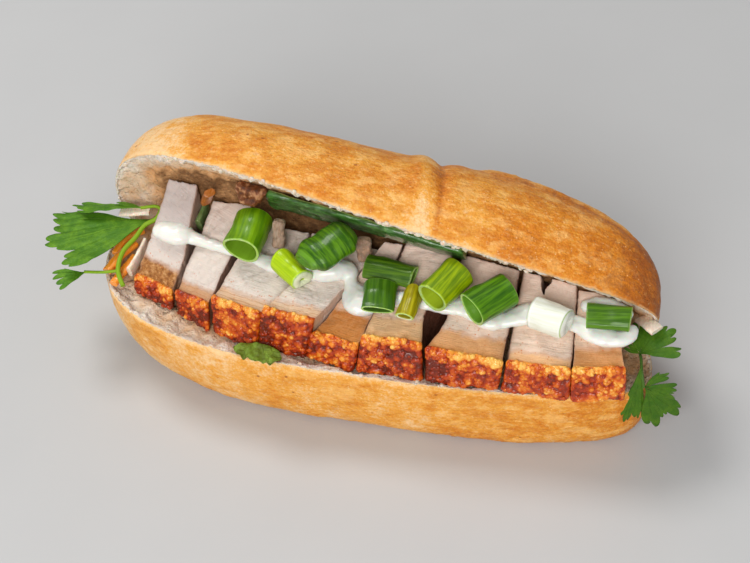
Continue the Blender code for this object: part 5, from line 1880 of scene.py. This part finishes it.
def area_light(name, place, across, watts, colour):
    """A soft round light that faces the roll."""
    lamp = bpy.data.lights.new(name, "AREA")
    lamp.shape = "DISK"
    lamp.size = across
    lamp.energy = watts
    lamp.color = colour
    made = link(name, lamp)
    made.location = place
    made.rotation_mode = "QUATERNION"
    made.rotation_quaternion = (Vector(place) - Vector(LIT)).to_track_quat("Z", "Y")


class PORK_ROLL_OT_stage(bpy.types.Operator):
    """Make the pale floor, the soft lights and the camera"""

    bl_idname = "pork_roll.stage"
    bl_label = "Floor, lights and camera"

    def execute(self, context):
        scene = context.scene
        stage = scene.pork_roll_stage
        bm = bmesh.new()
        bmesh.ops.create_grid(bm, x_segments=1, y_segments=1, size=FLOOR_HALF)
        data = bpy.data.meshes.new("floor")
        bm.to_mesh(data)
        bm.free()
        data.transform(Matrix.Translation((0.0, 0.0, -FLOOR_GAP)))
        f = Finish("floor", Roughness=0.8)
        shade = f.noise(f.place(), 0.02, 2.0)
        colour = f.mix(shade, toned(stage.floor, 0.97), toned(stage.floor, 1.03))
        show("floor", data, f.feed(Base_Color=colour))

        lens = bpy.data.cameras.new("camera")
        lens.lens = LENS
        lens.sensor_width = SENSOR
        lens.clip_start = 0.01
        lens.clip_end = 20.0
        scene.camera = link("camera", lens)
        scene.camera.matrix_world = camera_matrix(stage)

        for row in LIGHTS:
            area_light(*row)
        world = bpy.data.worlds.new("soft_room")
        world.use_nodes = True
        sky = world.node_tree.nodes["Background"].inputs
        sky["Color"].default_value = ROOM
        sky["Strength"].default_value = ROOM_STRENGTH
        scene.world = world
        scene.view_settings.view_transform = "Standard"
        return {"FINISHED"}


class PORK_ROLL_PT_panel(bpy.types.Panel):
    """Lists the steps and settings of the pork roll"""

    bl_label = "Crispy pork roll"
    bl_idname = "PORK_ROLL_PT_panel"
    bl_space_type = "VIEW_3D"
    bl_region_type = "UI"
    bl_category = "Pork roll"

    def draw(self, context):
        for step in STEPS:
            self.layout.operator(step.bl_idname, text=step.bl_label)
        for name, group in GROUPS.items():
            box = self.layout.box()
            box.label(text=group.__doc__)
            for key in group.__annotations__:
                box.prop(getattr(context.scene, name), key)


STEPS = (
    PORK_ROLL_OT_bread, PORK_ROLL_OT_pork, PORK_ROLL_OT_ends, PORK_ROLL_OT_onions,
    PORK_ROLL_OT_sauce, PORK_ROLL_OT_cucumber, PORK_ROLL_OT_leaves, PORK_ROLL_OT_pickles,
    PORK_ROLL_OT_stage,
)


def register():
    for made in (*GROUPS.values(), *STEPS, PORK_ROLL_PT_panel):
        bpy.utils.register_class(made)
    for name, group in GROUPS.items():
        setattr(bpy.types.Scene, name, PointerProperty(type=group))


def unregister():
    for name in GROUPS:
        delattr(bpy.types.Scene, name)
    for made in (PORK_ROLL_PT_panel, *reversed(STEPS), *GROUPS.values()):
        bpy.utils.unregister_class(made)


def main():
    register()
    for step in STEPS:
        group, action = step.bl_idname.split(".")
        getattr(getattr(bpy.ops, group), action)()


if __name__ == "__main__":
    main()
